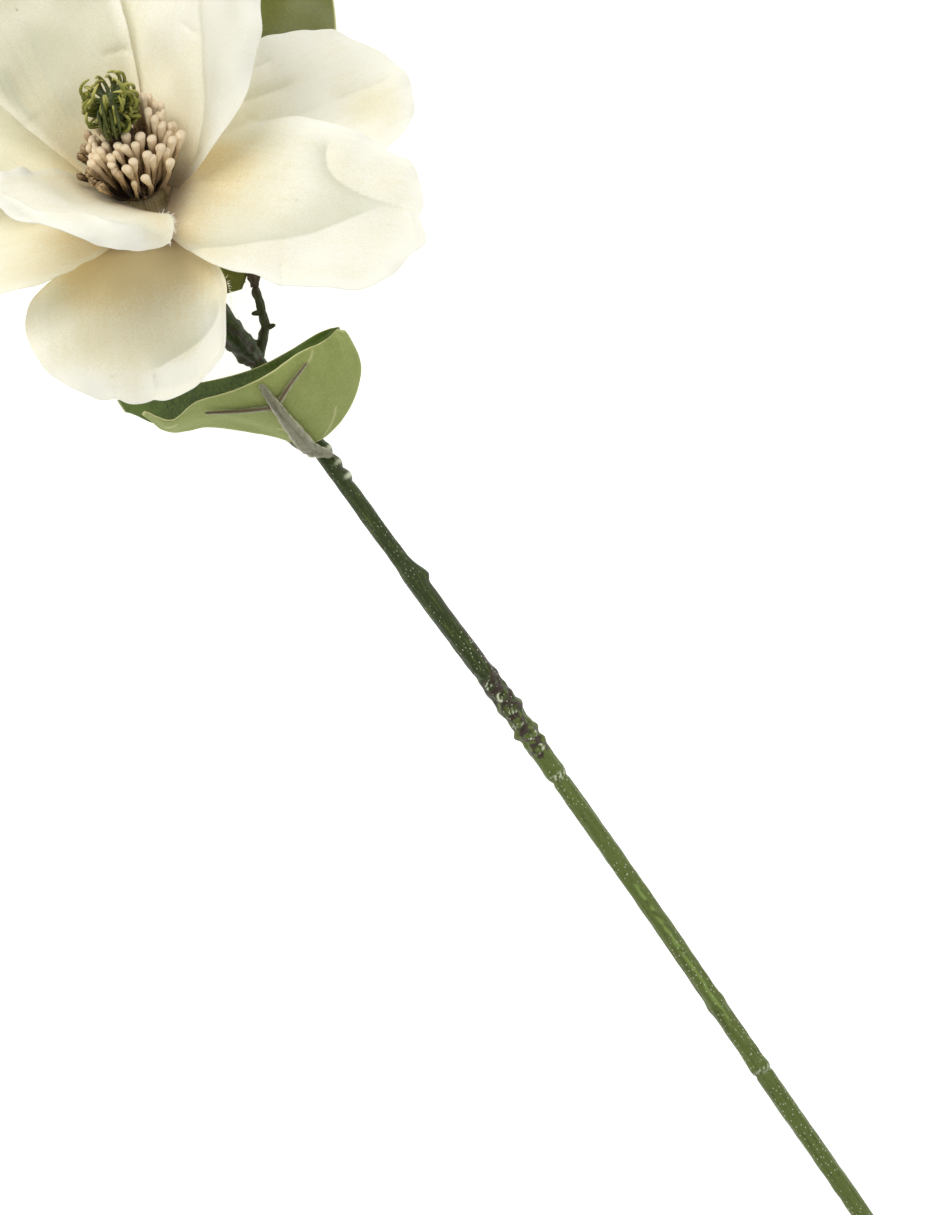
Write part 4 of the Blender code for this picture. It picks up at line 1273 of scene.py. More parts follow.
    def add_turned(self, surface: Surface, profile: Sequence[Flat], sides: int, rings: int, dark: float,
                   beside: Number = 0.0) -> None:
        """Adds a body turned round the axis, or beside it: radius = profile (1 + 0.03 sin 5a sin 1.3h).

        Args:
            surface: what it is added to.
            profile: its heights and radii.
            sides, rings: how finely it is made. More rings than the profile has round it.
            dark: how dark it is painted.
            beside: how far it stands from the axis.
        """
        heights = spread([height for height, _ in profile], rings)
        radii = np.interp(heights, [height for height, _ in profile], [radius for _, radius in profile])
        route = (self.at(heights, np.zeros(rings), np.zeros(rings)) + beside)[None]
        lumps = 1 + 0.03 * np.sin(5 * ring_angles(sides))[None, :] * np.sin(heights * 1.3)[:, None]
        tube = sweep(route, (radii[:, None] * lumps)[None], sides, self.bloom.east)
        paints = {"dark": np.full((1, rings), dark), "pale": np.zeros((1, rings)), "stain_and_shade": np.zeros((1, rings))}
        add_tubes(surface, tube, 2 * math.pi * max(radii), heights, paints)

    def build(self) -> None:
        """Makes the cup, the stamens and the pistil."""
        cup = Surface()
        self.add_turned(cup, self.cup, 48, 24, 0.4)
        finish = Moulding("receptacle_plastic", paint(128, 112, 72), paint(90, 76, 46), paint(150, 138, 98)).make()
        put(cup.piece("receptacle_cup", finish), Slot.CUP, "receptacle")
        self.build_stamens()
        self.build_pistil()

    def build_stamens(self) -> None:
        """Club-headed filaments: out = base + reach t^0.75, up = root + climb t^1.3, then a straight head.

        A head swells from the filament's thickness to the club's as (s / 0.8)^0.7 and ends round. The finer
        filaments run on from the solid's in the same spiral.
        """
        draw = np.random.default_rng(SEED)
        share = np.concatenate([np.linspace(0.0, 1.0, self.stamens), np.linspace(0.3, 1.4, self.fine_stamens)])
        count = len(share)
        turn, outward, upward = (draw.standard_normal((count, 3)) * self.scatter).T
        azimuth = np.arange(count) * GOLDEN_ANGLE + turn
        base, reach, root, climb = (
            pair[0] + (pair[1] - pair[0]) * share for pair in (self.stamen_base, self.spread, self.root, self.tip))
        far = np.maximum(0.0, np.cos(azimuth - self.lift_at))
        reach = reach + outward - base + self.lift[0] * far * share
        climb = climb + upward - self.club_length - root + self.lift[1] * far
        t = np.linspace(0.0, 1.0, self.stalk_rings)
        sway = Ripple(SEED, (9.0, 6.0), 0.5)(t[None, :] * 6, np.arange(count)[:, None] * 3.0) * t
        sway = sway + 1.1 * draw.standard_normal(count)[:, None] * t ** 5
        out = base[:, None] + reach[:, None] * t ** self.stamen_bend[1]
        up = root[:, None] + climb[:, None] * t ** self.stamen_bend[0]
        side = self.sideways(azimuth)[:, None, :]
        stalk = self.at(up, out, np.repeat(azimuth[:, None], len(t), axis=1)) + sway[..., None] * side
        lean = unit(stalk[:, -1] - stalk[:, -3])[:, None, :]
        along = 1.0 - (1.0 - np.linspace(0.0, 1.0, self.head_rings + 1)[1:]) ** 1.5
        head = stalk[:, -1:] + lean * (self.club_length * along)[None, :, None]
        slim = self.stamen_radius * self.slim
        club = slim + (self.club_radius - slim) * np.minimum(along / 0.8, 1.0) ** 0.7
        club = club * np.sqrt(np.clip(1.0 - (np.maximum(along - 0.78, 0.0) / 0.222) ** 2, 0.0, 1.0))
        radii = np.concatenate([np.full(len(t), slim), club])
        plump = 1.0 + 0.12 * draw.standard_normal(count)[:, None]
        ridge = 1.0 + 0.1 * np.cos(2 * ring_angles(self.stamen_sides) + 0.7)
        route = np.concatenate([stalk, head], axis=1)
        rings = sweep(route, (radii * plump)[..., None] * ridge, self.stamen_sides, side)
        depth = np.concatenate([t * self.STALK_SHARE, self.STALK_SHARE + (1 - self.STALK_SHARE) * along])
        brown = np.maximum(0.0, np.cos(azimuth - self.brown_at)) * (1 - smooth((share - 0.35) / 0.3))
        # Brown towards the roots, darkened further as painted shade in the gaps of the cluster, by both the dark and
        # the brown colour.
        dark = 1.0 - smooth(depth / 0.95 + 0.1 * draw.standard_normal(count)[:, None])
        dark = np.clip(dark + 0.95 * brown[:, None] * (1 - 0.4 * depth), 0.0, 1.1)
        pale = smooth((depth - 0.5) / 0.45) * 0.85 * (1 - 0.9 * brown[:, None])
        surface = Surface()
        self.add_turned(surface, self.core, 32, 16, 1.0)
        length = np.concatenate([t * self.STALK_FLAT, self.STALK_FLAT + along * self.club_length])
        add_tubes(surface, rings, 2 * math.pi * self.club_radius, length,
                  {"dark": dark, "pale": pale, "stain_and_shade": dark ** 2})
        finish = Moulding("stamen_plastic", paint(190, 162, 120), paint(78, 54, 30), paint(236, 216, 182),
                          stain_and_shade=paint(38, 25, 14), gloss=0.5).make()
        put(surface.piece("stamen_heads", finish), Slot.STAMEN, "stamens")

    def build_pistil(self) -> None:
        """Hooked styles: out = start + reach (0.5 sin h + 0.7 t), up = height + climb (0.6 t + 0.18 (1 - cos h))."""
        draw = np.random.default_rng(SEED + 1)
        heights, radii = np.array(self.pistil_core).T
        counts = (self.styles, self.fine_styles)
        share = np.concatenate([(np.arange(count) + 0.5) / count for count in counts])[:, None]
        height = heights[1] + (heights[-1] - heights[1] - self.style_sink) * share
        start = np.interp(height, heights, radii) - self.style_sink
        reach = self.style_reach * draw.uniform(*self.style_scatter, len(share))[:, None]
        reach = reach * np.repeat([1.0, self.fine_reach], counts)[:, None]
        t = np.linspace(0.0, 1.0, self.style_rings)[None, :]
        hook = t * self.style_hook
        out = start + reach * (0.5 * np.sin(hook) + 0.7 * t)
        up = height + reach * (0.3 + 1.2 * share) * (0.6 * t + 0.18 * (1 - np.cos(hook)))
        azimuth = np.arange(len(share))[:, None] * GOLDEN_ANGLE + 0.25 * t
        azimuth = azimuth + 0.5 * draw.standard_normal(len(share))[:, None] * t ** 2
        beside = self.at(0.0, self.pistil_shift, math.pi) - self.at(0.0, 0.0, 0.0)
        route = self.at(up, out, azimuth) + beside
        thick = 0.78 * spread(self.style_radii, self.style_rings) * np.sqrt(np.clip(1.0 - t[0] ** 12, 0.02, 1.0))
        thick = np.repeat(thick[None, :], len(share), axis=0)
        rings = sweep(route, thick, self.slim_sides, self.sideways(azimuth))
        surface = Surface()
        self.add_turned(surface, self.pistil_core, 24, 20, 1.0, beside)
        self.add_spikes(surface, beside)
        tone = 0.3 * draw.standard_normal(len(share))[:, None]
        tips = smooth((t - 0.3) / 0.6) * 0.8 + tone * t
        paints = {"dark": 1.0 - smooth(t / 0.7) + 0.3 * tone, "pale": tips, "stain_and_shade": 0 * tips}
        add_tubes(surface, rings, 2 * math.pi, t[0] * self.STYLE_FLAT, paints)
        finish = Moulding("pistil_plastic", paint(136, 136, 54), paint(62, 72, 28), paint(182, 176, 92),
                          stain_and_shade=paint(40, 50, 16), gloss=0.36).make()
        put(surface.piece("pistil_styles", finish), Slot.PISTIL, "pistil")


# Leaves


@dataclass(frozen=True)
class Patch:
    """A broad leaf spread between a near edge and a far edge.

    Fields:
        node: the solid that it stands for.
        near, far: the two edges, from the leaf's left end to its right one.
        bulge: how far its middle stands towards the viewer.
        veins: polylines of shares along and across the leaf that a pale vein follows.
        lit: painted light, as lighter zones at shares along and across the leaf.
        overhang: where its near edge hangs out, and by how much.
        tuck: how far its last corner is drawn in, to round it, and over what distance.
        hollows, dents: wavelengths and height of its soft and its fine unevenness.
        vein_height, vein_width: of a vein. swell: the most that its surface stands off towards its ribs.
    """

    node: str
    near: Route
    far: Route
    bulge: float
    finish: LeafFabric
    veins: tuple[Line, ...] = ()
    lit: tuple[Spot, ...] = ()
    overhang: Spot = Spot((0.5, 0.0), (1.0, 1.0), 0.0)
    tuck: Flat = (1.7, 3.4)
    hollows: Waves = ((24.0, 18.0), 0.35)
    dents: Waves = ((7.0, 7.0), 0.06)
    vein_height: float = 0.12
    vein_width: float = 0.5
    swell: float = 0.15
    seed: int = 1
    rows: int = 120
    columns: int = 64

    def middle(self, rows: int, columns: int) -> Array:
        """The smooth leaf: straight from edge to edge, plus bulge sin(pi s) sin(pi v) towards the viewer."""
        low, high = curve_through(self.near, rows), curve_through(self.far, rows)
        part = np.linspace(0.0, 1.0, columns)[None, :, None]
        grid = low[:, None, :] * (1 - part) + high[:, None, :] * part
        ends = np.sin(np.linspace(0.0, math.pi, rows))[:, None]
        grid[..., 2] += self.bulge * ends * np.sin(math.pi * part[..., 0])
        return grid

    def build(self, thickness: float) -> None:
        """Makes the leaf, with soft hollows, fine veins and a rim that waves a little."""
        grid = self.middle(self.rows, self.columns)
        corner = grid[-1, -1]
        near_corner = bell(np.linalg.norm(grid - corner, axis=-1), self.tuck[1])[..., None]
        grid = grid + self.tuck[0] * near_corner * unit(grid.mean(axis=(0, 1)) - corner)
        x = run_along(grid.mean(axis=1))[:, None] + np.zeros((1, self.columns))
        width = np.linalg.norm(np.diff(grid, axis=1), axis=-1)
        y = np.concatenate([np.zeros((self.rows, 1)), np.cumsum(width, axis=1)], axis=1)
        along = np.linspace(0, 1, self.rows)[:, None]
        across = np.linspace(0, 1, self.columns)[None, :]
        edge = np.maximum(np.abs(2 * across - 1), np.abs(2 * along - 1))
        grid[..., 1] -= self.overhang.field(along, across)
        vein = np.zeros_like(x)
        for line in self.veins:
            vein = np.maximum(vein, self.vein(x, y, line))
        relief = Ripple(self.seed, *self.hollows)(x, y) * smooth((1 - edge) / 0.3) + self.vein_height * vein
        relief = np.minimum(relief + Ripple(self.seed + 3, *self.dents)(x, y), self.swell)
        grid = grid + grid_normals(grid) * relief[..., None]
        grid[..., 2] = np.maximum(grid[..., 2], thickness / 2)
        # Painted light from the lit zones.
        bright = total(x, [spot.field(along, across) for spot in self.lit])
        surface = Surface()
        add_shell(surface, grid, thickness * (1 - 0.55 * edge ** 30), (x, y),
                  {"vein": vein, "edge": beyond(edge, 0.965), "bright": bright})
        put(surface.piece(self.node + "_blade", self.finish.make()), Slot.LEAF, self.node)

    def vein(self, x: Array, y: Array, line: Sequence[Flat]) -> Array:
        """1 on a vein and 0 away from it: a bell of the distance from a line drawn through shares of the leaf."""
        marks = [(int(down * (self.rows - 1)), int(over * (self.columns - 1))) for down, over in line]
        places = curve_through([(x[mark], y[mark]) for mark in marks], 24)
        gap = np.min(np.hypot(x[..., None] - places[:, 0], y[..., None] - places[:, 1]), axis=-1)
        return bell(gap, self.vein_width)


@dataclass(frozen=True)
class SideLeaf:
    """A flat leaf on the side twig.

    Fields:
        pairs: how many pairs of side veins it has.
        slant, sag: how steeply the side veins leave the midrib, and how they curve.
        midrib, side: half the width of those veins.
    """

    blade: Blade
    finish: LeafFabric
    thickness: float = 0.8
    grid: BladeGrid = BladeGrid(100, 70)
    pairs: int = 9
    slant: float = 0.85
    sag: float = 0.006
    midrib: float = 0.8
    side: float = 0.6

    def build(self) -> None:
        """Makes the leaf, with a midrib line and pairs of side veins that curve towards its tip."""
        blade = self.blade
        along, across, x, y, edge = self.grid.places(blade)
        middle = blade.bent(x, y, blade.start, UP, EAST)
        pitch = blade.length / (self.pairs + 2)
        step = (y - np.abs(x) * self.slant - self.sag * x ** 2) / pitch
        side = bell((step - np.round(step)) * pitch, self.side) * smooth((edge - 0.02) / 0.1)
        vein = np.maximum(bell(x, self.midrib), 0.7 * side) * (1 - edge ** 8)
        free = smooth((along - 0.1) / 0.3)
        relief = free * Ripple(blade.seed, (26.0, 30.0), 0.5)(x, y) - 0.15 * vein + 0.3 * free * edge ** 6
        middle = middle - grid_normals(middle) * relief[..., None]
        thin = self.thickness * (1 - 0.5 * edge ** 14)
        middle[..., 2] = np.maximum(middle[..., 2], thin / 2)
        surface = Surface()
        paints = {"vein": vein, "edge": beyond(edge, 0.97), "bright": np.zeros_like(x)}
        add_shell(surface, middle, thin, (x, y), paints)
        put(surface.piece(blade.node + "_blade", self.finish.make()), Slot.LEAF, blade.node)


FRONT_LEAF = Patch(
    "leaf_front",
    near=((0.7, -78.6, 44.0), (10.1, -84.6, 39.0), (23.8, -82.7, 35.0), (41.7, -84.9, 31.0),
          (59.2, -87.9, 28.5), (71.1, -78.6, 33.0), (77.1, -63.1, 42.0), (72.0, -49.3, 48.0)),
    far=((1.7, -77.8, 47.0), (11.9, -81.2, 52.0), (20.5, -75.2, 56.0), (33.2, -71.6, 59.0),
         (45.7, -65.9, 61.0), (55.9, -58.5, 59.0), (64.7, -54.1, 56.0), (70.4, -48.5, 51.0)),
    bulge=4.0, finish=LeafFabric("leaf_fabric_front"), seed=31,
    veins=(((0.629, 0.045), (0.674, 0.111), (0.714, 0.186)), ((0.559, 0.226), (0.53, 0.228), (0.496, 0.226)),
           ((0.133, 0.367), (0.15, 0.5), (0.173, 0.628)), ((0.732, 0.854), (0.76, 0.9), (0.78, 0.94))))
BEHIND_LEAF = Patch(
    "leaf_behind",
    near=((-9.6, -75.4, 0.4), (-0.2, -77.1, 5.0), (14.8, -79.3, 12.0), (33.2, -81.4, 19.0),
          (52.5, -82.5, 25.0), (63.5, -72.5, 31.5), (69.8, -61.9, 38.0), (71.5, -51.0, 43.0)),
    far=((-12.5, -71.1, 0.4), (-3.9, -69.1, 4.0), (11.2, -66.8, 12.0), (26.9, -64.4, 20.0),
         (40.1, -61.0, 27.5), (51.8, -55.5, 33.0), (61.9, -50.0, 39.0), (70.8, -47.2, 43.0)),
    bulge=0.0, seed=32,
    finish=LeafFabric("leaf_fabric_behind", front_is=Face.UPPER, upper=paint(52, 68, 30),
                      upper_light=paint(106, 128, 56)),
    # Painted light: lighter zones at both ends of its upper side.
    lit=(Spot((0.82, 0.9), (0.15, 0.6), 0.95), Spot((0.08, 0.5), (0.13, 0.9), 0.8)),
    overhang=Spot((0.19, 0.0), (0.09, 0.6), 2.8))
SIDE_FABRIC = LeafFabric("leaf_fabric_top", upper=paint(94, 98, 30), upper_light=paint(116, 120, 48))
SIDE_BLADES = (
    Blade("leaf_top", start=(37.3, -24.8, 14.5), azimuth=88.7, length=135.0, base=7.0, left=29.3, right=27.8,
          widest=0.58, claw=1.8, blunt=0.97, root=0.0, height=0.0, rise=(-6, -7, -6, -4), cup=(10, 6),
          roll=(0.0, 0.0), swing=-1.3, seed=33),
    Blade("leaf_small", start=(34.7, -29.6, 15.4), azimuth=160.0, length=84.0, base=6.0, left=21.0, right=21.0,
          widest=0.5, claw=1.8, blunt=0.97, root=0.0, height=0.0, rise=(-2, -4, -5, -3), cup=(10, 6),
          roll=(0.0, 0.0), swing=0.0, seed=34))


@dataclass(frozen=True)
class Foliage:
    """The four leaves and their plastic midribs.

    Fields:
        thickness, rib_gap: of a leaf, and how far a rib stands off it.
        front_stalk, front_rib, front_radii: the front leaf's rib, from the end of its stalk, by shares of the leaf.
        side_ribs, side_radii: its two side ribs.
        behind_rib, leaf_rib, rib_radii: the ribs of the leaf behind and of the side leaves.
        patch_places, blade_places: the rows and columns that the ribs' shares are read on, as in the solids.
        rib_sides: how finely a rib is made.
    """

    thickness: float = 0.8
    rib_gap: float = 0.5
    rib_sides: int = 20
    front_stalk: Point = (66.4, -92.0, 23.4)
    front_rib: Line = ((0.571, 0.02), (0.56, 0.2), (0.545, 0.5), (0.535, 0.8), (0.53, 0.97))
    front_radii: Series = (1.3, 2.6, 3.0, 2.2, 1.5, 1.0)
    side_ribs: tuple[Line, ...] = (
        ((0.54, 0.62), (0.62, 0.78), (0.72, 0.86)), ((0.545, 0.6), (0.42, 0.62), (0.3, 0.66)))
    side_radii: Series = (1.0, 0.8, 0.5)
    behind_rib: Route = (
        (54.8, -89.2, 18.5), (48.5, -84.6, 19.2), (38.0, -80.4, 16.6), (24.0, -77.6, 12.4))
    leaf_rib: Line = ((0.0, 0.5), (0.15, 0.5), (0.3, 0.5), (0.45, 0.5))
    rib_radii: Series = (1.3, 1.3, 1.0, 0.6)
    patch_places: tuple[int, int] = (17, 9)
    blade_places: tuple[int, int] = (13, 9)

    def build(self) -> None:
        """Makes the leaves, then the ribs."""
        for patch in (FRONT_LEAF, BEHIND_LEAF):
            patch.build(self.thickness)
        for blade in SIDE_BLADES:
            SideLeaf(blade, SIDE_FABRIC).build()
        self.build_ribs()

    def build_ribs(self) -> None:
        """Makes the plastic midribs and their stalks."""
        finish = Moulding("rib_plastic", paint(138, 137, 112), paint(98, 95, 72), paint(178, 176, 148),
                          stain_and_shade=paint(104, 86, 54), gloss=0.5).make()
        surface = Surface()
        grid = FRONT_LEAF.middle(*self.patch_places)
        self.add_rib(surface, grid, self.front_rib, self.front_radii, (self.front_stalk,), 0.35)
        for line in self.side_ribs:
            self.add_rib(surface, grid, line, self.side_radii, (), 1.0)
        put(surface.piece("leaf_front_rib_moulding", finish), Slot.RIB, "leaf_front_rib")
        surface = Surface()
        self.add_tube(surface, curve_through(self.behind_rib, 40), self.rib_radii, 0.2)
        put(surface.piece("leaf_behind_rib_moulding", finish), Slot.RIB, "leaf_behind_rib")
        rows, columns = self.blade_places
        along, across = np.meshgrid(np.linspace(0, 1, rows), np.linspace(-1, 1, columns), indexing="ij")
        for blade in SIDE_BLADES:
            surface = Surface()
            grid = blade.bent(*blade.outline(along, across), blade.start, UP, EAST)
            self.add_rib(surface, grid, self.leaf_rib, self.rib_radii, (), 0.2)
            put(surface.piece(blade.node + "_rib_moulding", finish), Slot.RIB, blade.node + "_rib")

    def add_rib(self, surface: Surface, grid: Array, shares: Sequence[Flat], radii: Sequence[float],
                stalk: Sequence[Point], slit: float) -> None:
        """Adds a tapered rib held just off a leaf, after its stalk's own points.

        Args:
            surface: what it is added to.
            grid: the leaf's middle surface.
            shares: the places on it that the rib runs over, read between its points.
            radii: thickness at each point of the stalk and the rib.
            stalk: points before the leaf.
            slit: how strong the brown line on its top is.
        """
        normals = grid_normals(grid)
        rows, columns = grid.shape[0] - 1, grid.shape[1] - 1
        points = [np.asarray(point, float) for point in stalk]
        for (down, over), radius in zip(shares, radii[len(stalk):]):
            i, j = min(int(down * rows), rows - 1), min(int(over * columns), columns - 1)
            p, q = down * rows - i, over * columns - j
            place, normal = (
                (1 - p) * (1 - q) * f[i, j] + p * (1 - q) * f[i + 1, j] + (1 - p) * q * f[i, j + 1]
                + p * q * f[i + 1, j + 1] for f in (grid, normals))
            points.append(place + (self.thickness / 2 + self.rib_gap + radius) * normal)
        self.add_tube(surface, curve_through(points, 18 * len(points)), radii, slit)

    def add_tube(self, surface: Surface, route: Array, radii: Sequence[float], slit: float) -> None:
        """Adds one rib: lumpy along its length, with a brown slit along its top and paler sides."""
        count = len(route)
        angle = ring_angles(self.rib_sides)
        length = run_along(route)
        lumps = 1 + Ripple(5, (1.2, 5.0), 0.07)(angle[None, :], length[:, None])
        ends = np.sqrt(np.clip(1 - np.linspace(-1, 1, count) ** 24, 0.05, 1.0))
        radius = spread(radii, count)[:, None] * lumps * ends[:, None]
        rings = sweep(route[None], radius[None], self.rib_sides, UP)
        shape = (1, count, self.rib_sides)
        pale = np.abs(np.sin(angle)) ** 3 * 0.8
        paints = {"dark": np.full(shape, 0.35), "stain_and_shade": np.broadcast_to(lobe(angle, power=6) * slit, shape),
                  "pale": np.broadcast_to(pale, shape)}
        add_tubes(surface, rings, 2 * math.pi * radii[0], length, paints)


# Stem


@dataclass(frozen=True)
class Band:
    """A bell at a place along a rod or round it: weight x bell(distance - at, width)."""

    at: float
    width: float
    weight: float = 1.0

    def __call__(self, distance: Array) -> Array:
        """The band's strength at some distances."""
        return self.weight * bell(distance - self.at, self.width)


@dataclass(frozen=True)
class Arm:
    """A tapered tube with ribs along it, darker than the rod.

    Fields:
        route, radii: its line, and its thickness along that line.
        rings, sides: how finely it is made.
        rib, ribs: the height and the number of its ribs.
        twist: how far the ribs turn round it, in radians a millimetre.
    """

    route: Any
    radii: Sequence[float]
    rings: int
    sides: int
    rib: float
    ribs: int
    twist: float = 0.12

    def add(self, surface: Surface) -> None:
        """Adds the tube, uneven between its ribs and rounded off at its end."""
        line = curve_through(self.route, self.rings)
        length, angle = run_along(line), ring_angles(self.sides)[None, :]
        ridges = self.rib * np.cos(self.ribs * angle + self.twist * length[:, None])
        ridges = ridges + Ripple(27 + self.ribs, (1.5, 4.0), 0.8 * self.rib)(angle, length[:, None])
        taper = np.sqrt(np.clip(1 - np.linspace(0, 1, self.rings) ** 30, 0.1, 1.0))[:, None]
        radius = (spread(self.radii, self.rings)[:, None] + ridges) * taper
        rings = sweep(line[None], radius[None], self.sides, (0.1, 0, 1))
        none = np.zeros(rings.shape[:3])
        paints = {"dark": none + 1.0, "stain_and_shade": none + 0.4 - 0.25 * ridges / self.rib, "pale": none, "fresh": none,
                  "speck": none}
        add_tubes(surface, rings, 2 * math.pi * self.radii[0], length, paints)


@dataclass(frozen=True)
class Stem:
    """The moulded stem with its fork, its knobs and the side twig. Places are distances from the cut end.

    Fields:
        route, radius, upper_radius, neck_radius: the rod, from its cut end up. wear: its fine unevenness.
        knobs, nodes: what stands out of its sides, by place, turn in degrees and height.
        knob_width, knob_soft, knob_rim: a knob's width, what its foot adds to that, and the brown before it.
        knobby, knobby_height: the stretch that is uneven all round, and by how much.
        scars, scar_lean, scar_form: the scars along its top, how far they stray from it, and their section.
        scar_ring, scar_heart, scar_rim: the painted glints on a scar's ring and heart, and the brown round it.
        sleeves, sleeve_height, shoulder, pinch, flake: the two joints, and the pale patch on each.
        bump_at, bump_height, bump_fall: the bud bump, and how it falls away below and above.
        socket_at, socket_form, socket_highlight, socket_shade: the half rings under the leaves, their painted
        highlight on top and the painted shade in their grooves.
        glint, side_brown, smudge: the painted highlight along both its sides, the brown lines along it, and one brown
            spot.
        highlight_at, highlight_line, brown_at, brown_line: where a painted highlight of lighter green runs along its
        top, and where it is brown, along it and round it.
        branch, twig: the two arms of the fork, with their radii.
        nubs, nub_length, nub_radius: small stubs, each by the point of the twig it is on and its direction.
        bud, bud_radii, bud_root: the bud at the twig's tip, and its radius where it starts.
    """

    route: Route = (
        (267.8, -380.9, 3.15), (252.3, -358.9, 3.15), (220.1, -312.5, 4.2), (182.4, -257.5, 7.0),
        (145.7, -205.2, 10.0), (122.3, -172.1, 12.5), (91.6, -130.9, 15.5), (62.4, -90.7, 18.0),
        (39.3, -58.7, 19.0), (36.2, -54.4, 19.2))
    radius: float = 3.3
    upper_radius: float = 3.7
    upper_blend: float = 4.0
    neck_radius: float = 3.05
    neck_blend: float = 10.0
    sides: int = 64
    step: float = 0.55
    wear: tuple[Ripple, ...] = (Ripple(21, (1.6, 9.0), 0.05), Ripple(22, (0.7, 40.0), 0.05))
    knob_width: float = 1.9
    knob_soft: float = 0.2
    knob_rim: Band = Band(-1.8, 1.3, 0.3)
    knobs: Route = (
        (226.5, -90.0, 0.5), (227.0, 90.0, 0.5), (232.1, 90.0, 0.6), (232.5, -90.0, 1.1), (242.2, 95.0, 1.5),
        (243.6, -95.0, 0.9), (247.4, 90.0, 0.7), (250.9, -90.0, 0.6), (256.0, 80.0, 0.5))
    nodes: Route = ((111.7, -90.0, 0.5), (113.0, 90.0, 0.45))
    knobby: tuple[Flat, Flat] = ((222.0, 264.0), (4.0, 4.0))
    knobby_height: float = 0.18
    scars: Series = (224.9, 230.6, 236.3, 242.0, 247.7, 253.4)
    scar_lean: float = 0.22
    scar_form: tuple[Band, ...] = (Band(0.0, 2.6), Band(1.6, 0.6, 0.5), Band(0.0, 0.9, -0.7))
    scar_ring: Band = Band(1.5, 0.5)
    scar_heart: Band = Band(0.3, 0.5, 0.6)
    scar_rim: Band = Band(2.5, 1.5, 0.95)
    sleeves: Flat = (83.0, 212.0)
    sleeve_height: float = 0.35
    shoulder: Band = Band(1.6, 2.2)
    pinch: Band = Band(-0.9, 0.8, -0.5)
    flake: Band = Band(0.4, 2.2, 0.75)
    bump_at: float = 298.7
    bump_height: float = 1.6
    bump_fall: Flat = (1.7, 5.2)
    socket_at: Series = (344.0, 350.0, 356.0)
    socket_form: tuple[Band, ...] = (Band(0.0, 2.0, 1.1), Band(-2.7, 0.7, -0.5))
    socket_highlight: Band = Band(-0.3, 1.4, 0.75)
    socket_shade: Band = Band(-2.7, 0.7, 0.7)
    glint: Band = Band(1.45, 0.2, 0.3)
    side_brown: Band = Band(1.25, 0.22, 0.5)
    smudge: tuple[Band, Band] = (Band(-0.5, 0.12, 0.5), Band(134.0, 9.0))
    highlight_at: tuple[Flat, Flat] = ((96.0, 172.0), (14.0, 14.0))
    highlight_line: Band = Band(0.1, 0.3)
    brown_at: tuple[Flat, Flat] = ((255.0, 305.0), (8.0, 25.0))
    brown_line: Band = Band(1.0, 0.3, 0.6)
    branch: Route = (
        (39.3, -58.7, 19.0), (35.0, -54.1, 24.0), (27.8, -45.5, 32.0), (17.3, -31.7, 42.0),
        (8.2, -19.5, 49.0), (5.3, -13.6, 54.6))
    branch_radii: Series = (3.0, 4.4, 5.2, 4.6, 4.0, 4.0)
    twig: Route = (
        (39.3, -58.7, 19.0), (40.7, -52.7, 19.5), (42.2, -46.6, 19.5), (41.1, -40.9, 19.0),
        (39.6, -35.8, 18.0), (38.4, -31.8, 17.2))
    twig_radii: Series = (2.2, 1.8, 1.6, 1.5, 1.5, 1.7)
    nubs: tuple[tuple[int, Point], ...] = ((2, (1.0, 0.3, 0.2)), (3, (-1.0, -0.2, 0.3)), (1, (-1.0, 0.5, 0.2)))
    nub_length: float = 4.0
    nub_radius: float = 1.1
    bud: Route = ((38.2, -30.4, 17.2), (38.0, -28.6, 17.3), (37.6, -26.4, 17.4))
    bud_radii: Series = (1.6, 2.5, 2.2)
    bud_root: float = 1.5

    def build(self) -> None:
        """Makes the rod, the branch and the twig as one piece, then the bud scale."""
        surface = Surface()
        self.add_rod(surface)
        Arm(self.branch, self.branch_radii, rings=60, sides=48, rib=0.3, ribs=5).add(surface)
        Arm(self.twig, self.twig_radii, rings=70, sides=24, rib=0.14, ribs=9).add(surface)
        for place, direction in self.nubs:
            root = np.asarray(self.twig[place], float)
            tip = root + self.nub_length * unit(direction)
            route = curve_through([root, (root + tip) / 2, tip], 10)
            radii = (self.nub_radius, self.nub_radius, self.nub_radius / 2)
            Arm(route, radii, rings=10, sides=12, rib=0.05, ribs=3).add(surface)
        finish = Moulding("stem_plastic", paint(96, 110, 46), paint(44, 56, 12), paint(200, 206, 176),
                          stain_and_shade=paint(58, 46, 34), fresh=paint(128, 150, 74), gloss=0.48, dots=1.0).make()
        put(surface.piece("stem_rod", finish), Slot.STEM, "stem")
        bud = Surface()
        line, radii = (self.twig[-1],) + self.bud, (self.bud_root,) + self.bud_radii
        Arm(line, radii, rings=30, sides=28, rib=0.12, ribs=6).add(bud)
        finish = Moulding("bud_plastic", paint(102, 88, 62), paint(66, 55, 36), paint(152, 136, 106)).make()
        put(bud.piece("twig_bud_scale", finish), Slot.BUD, "twig_bud")

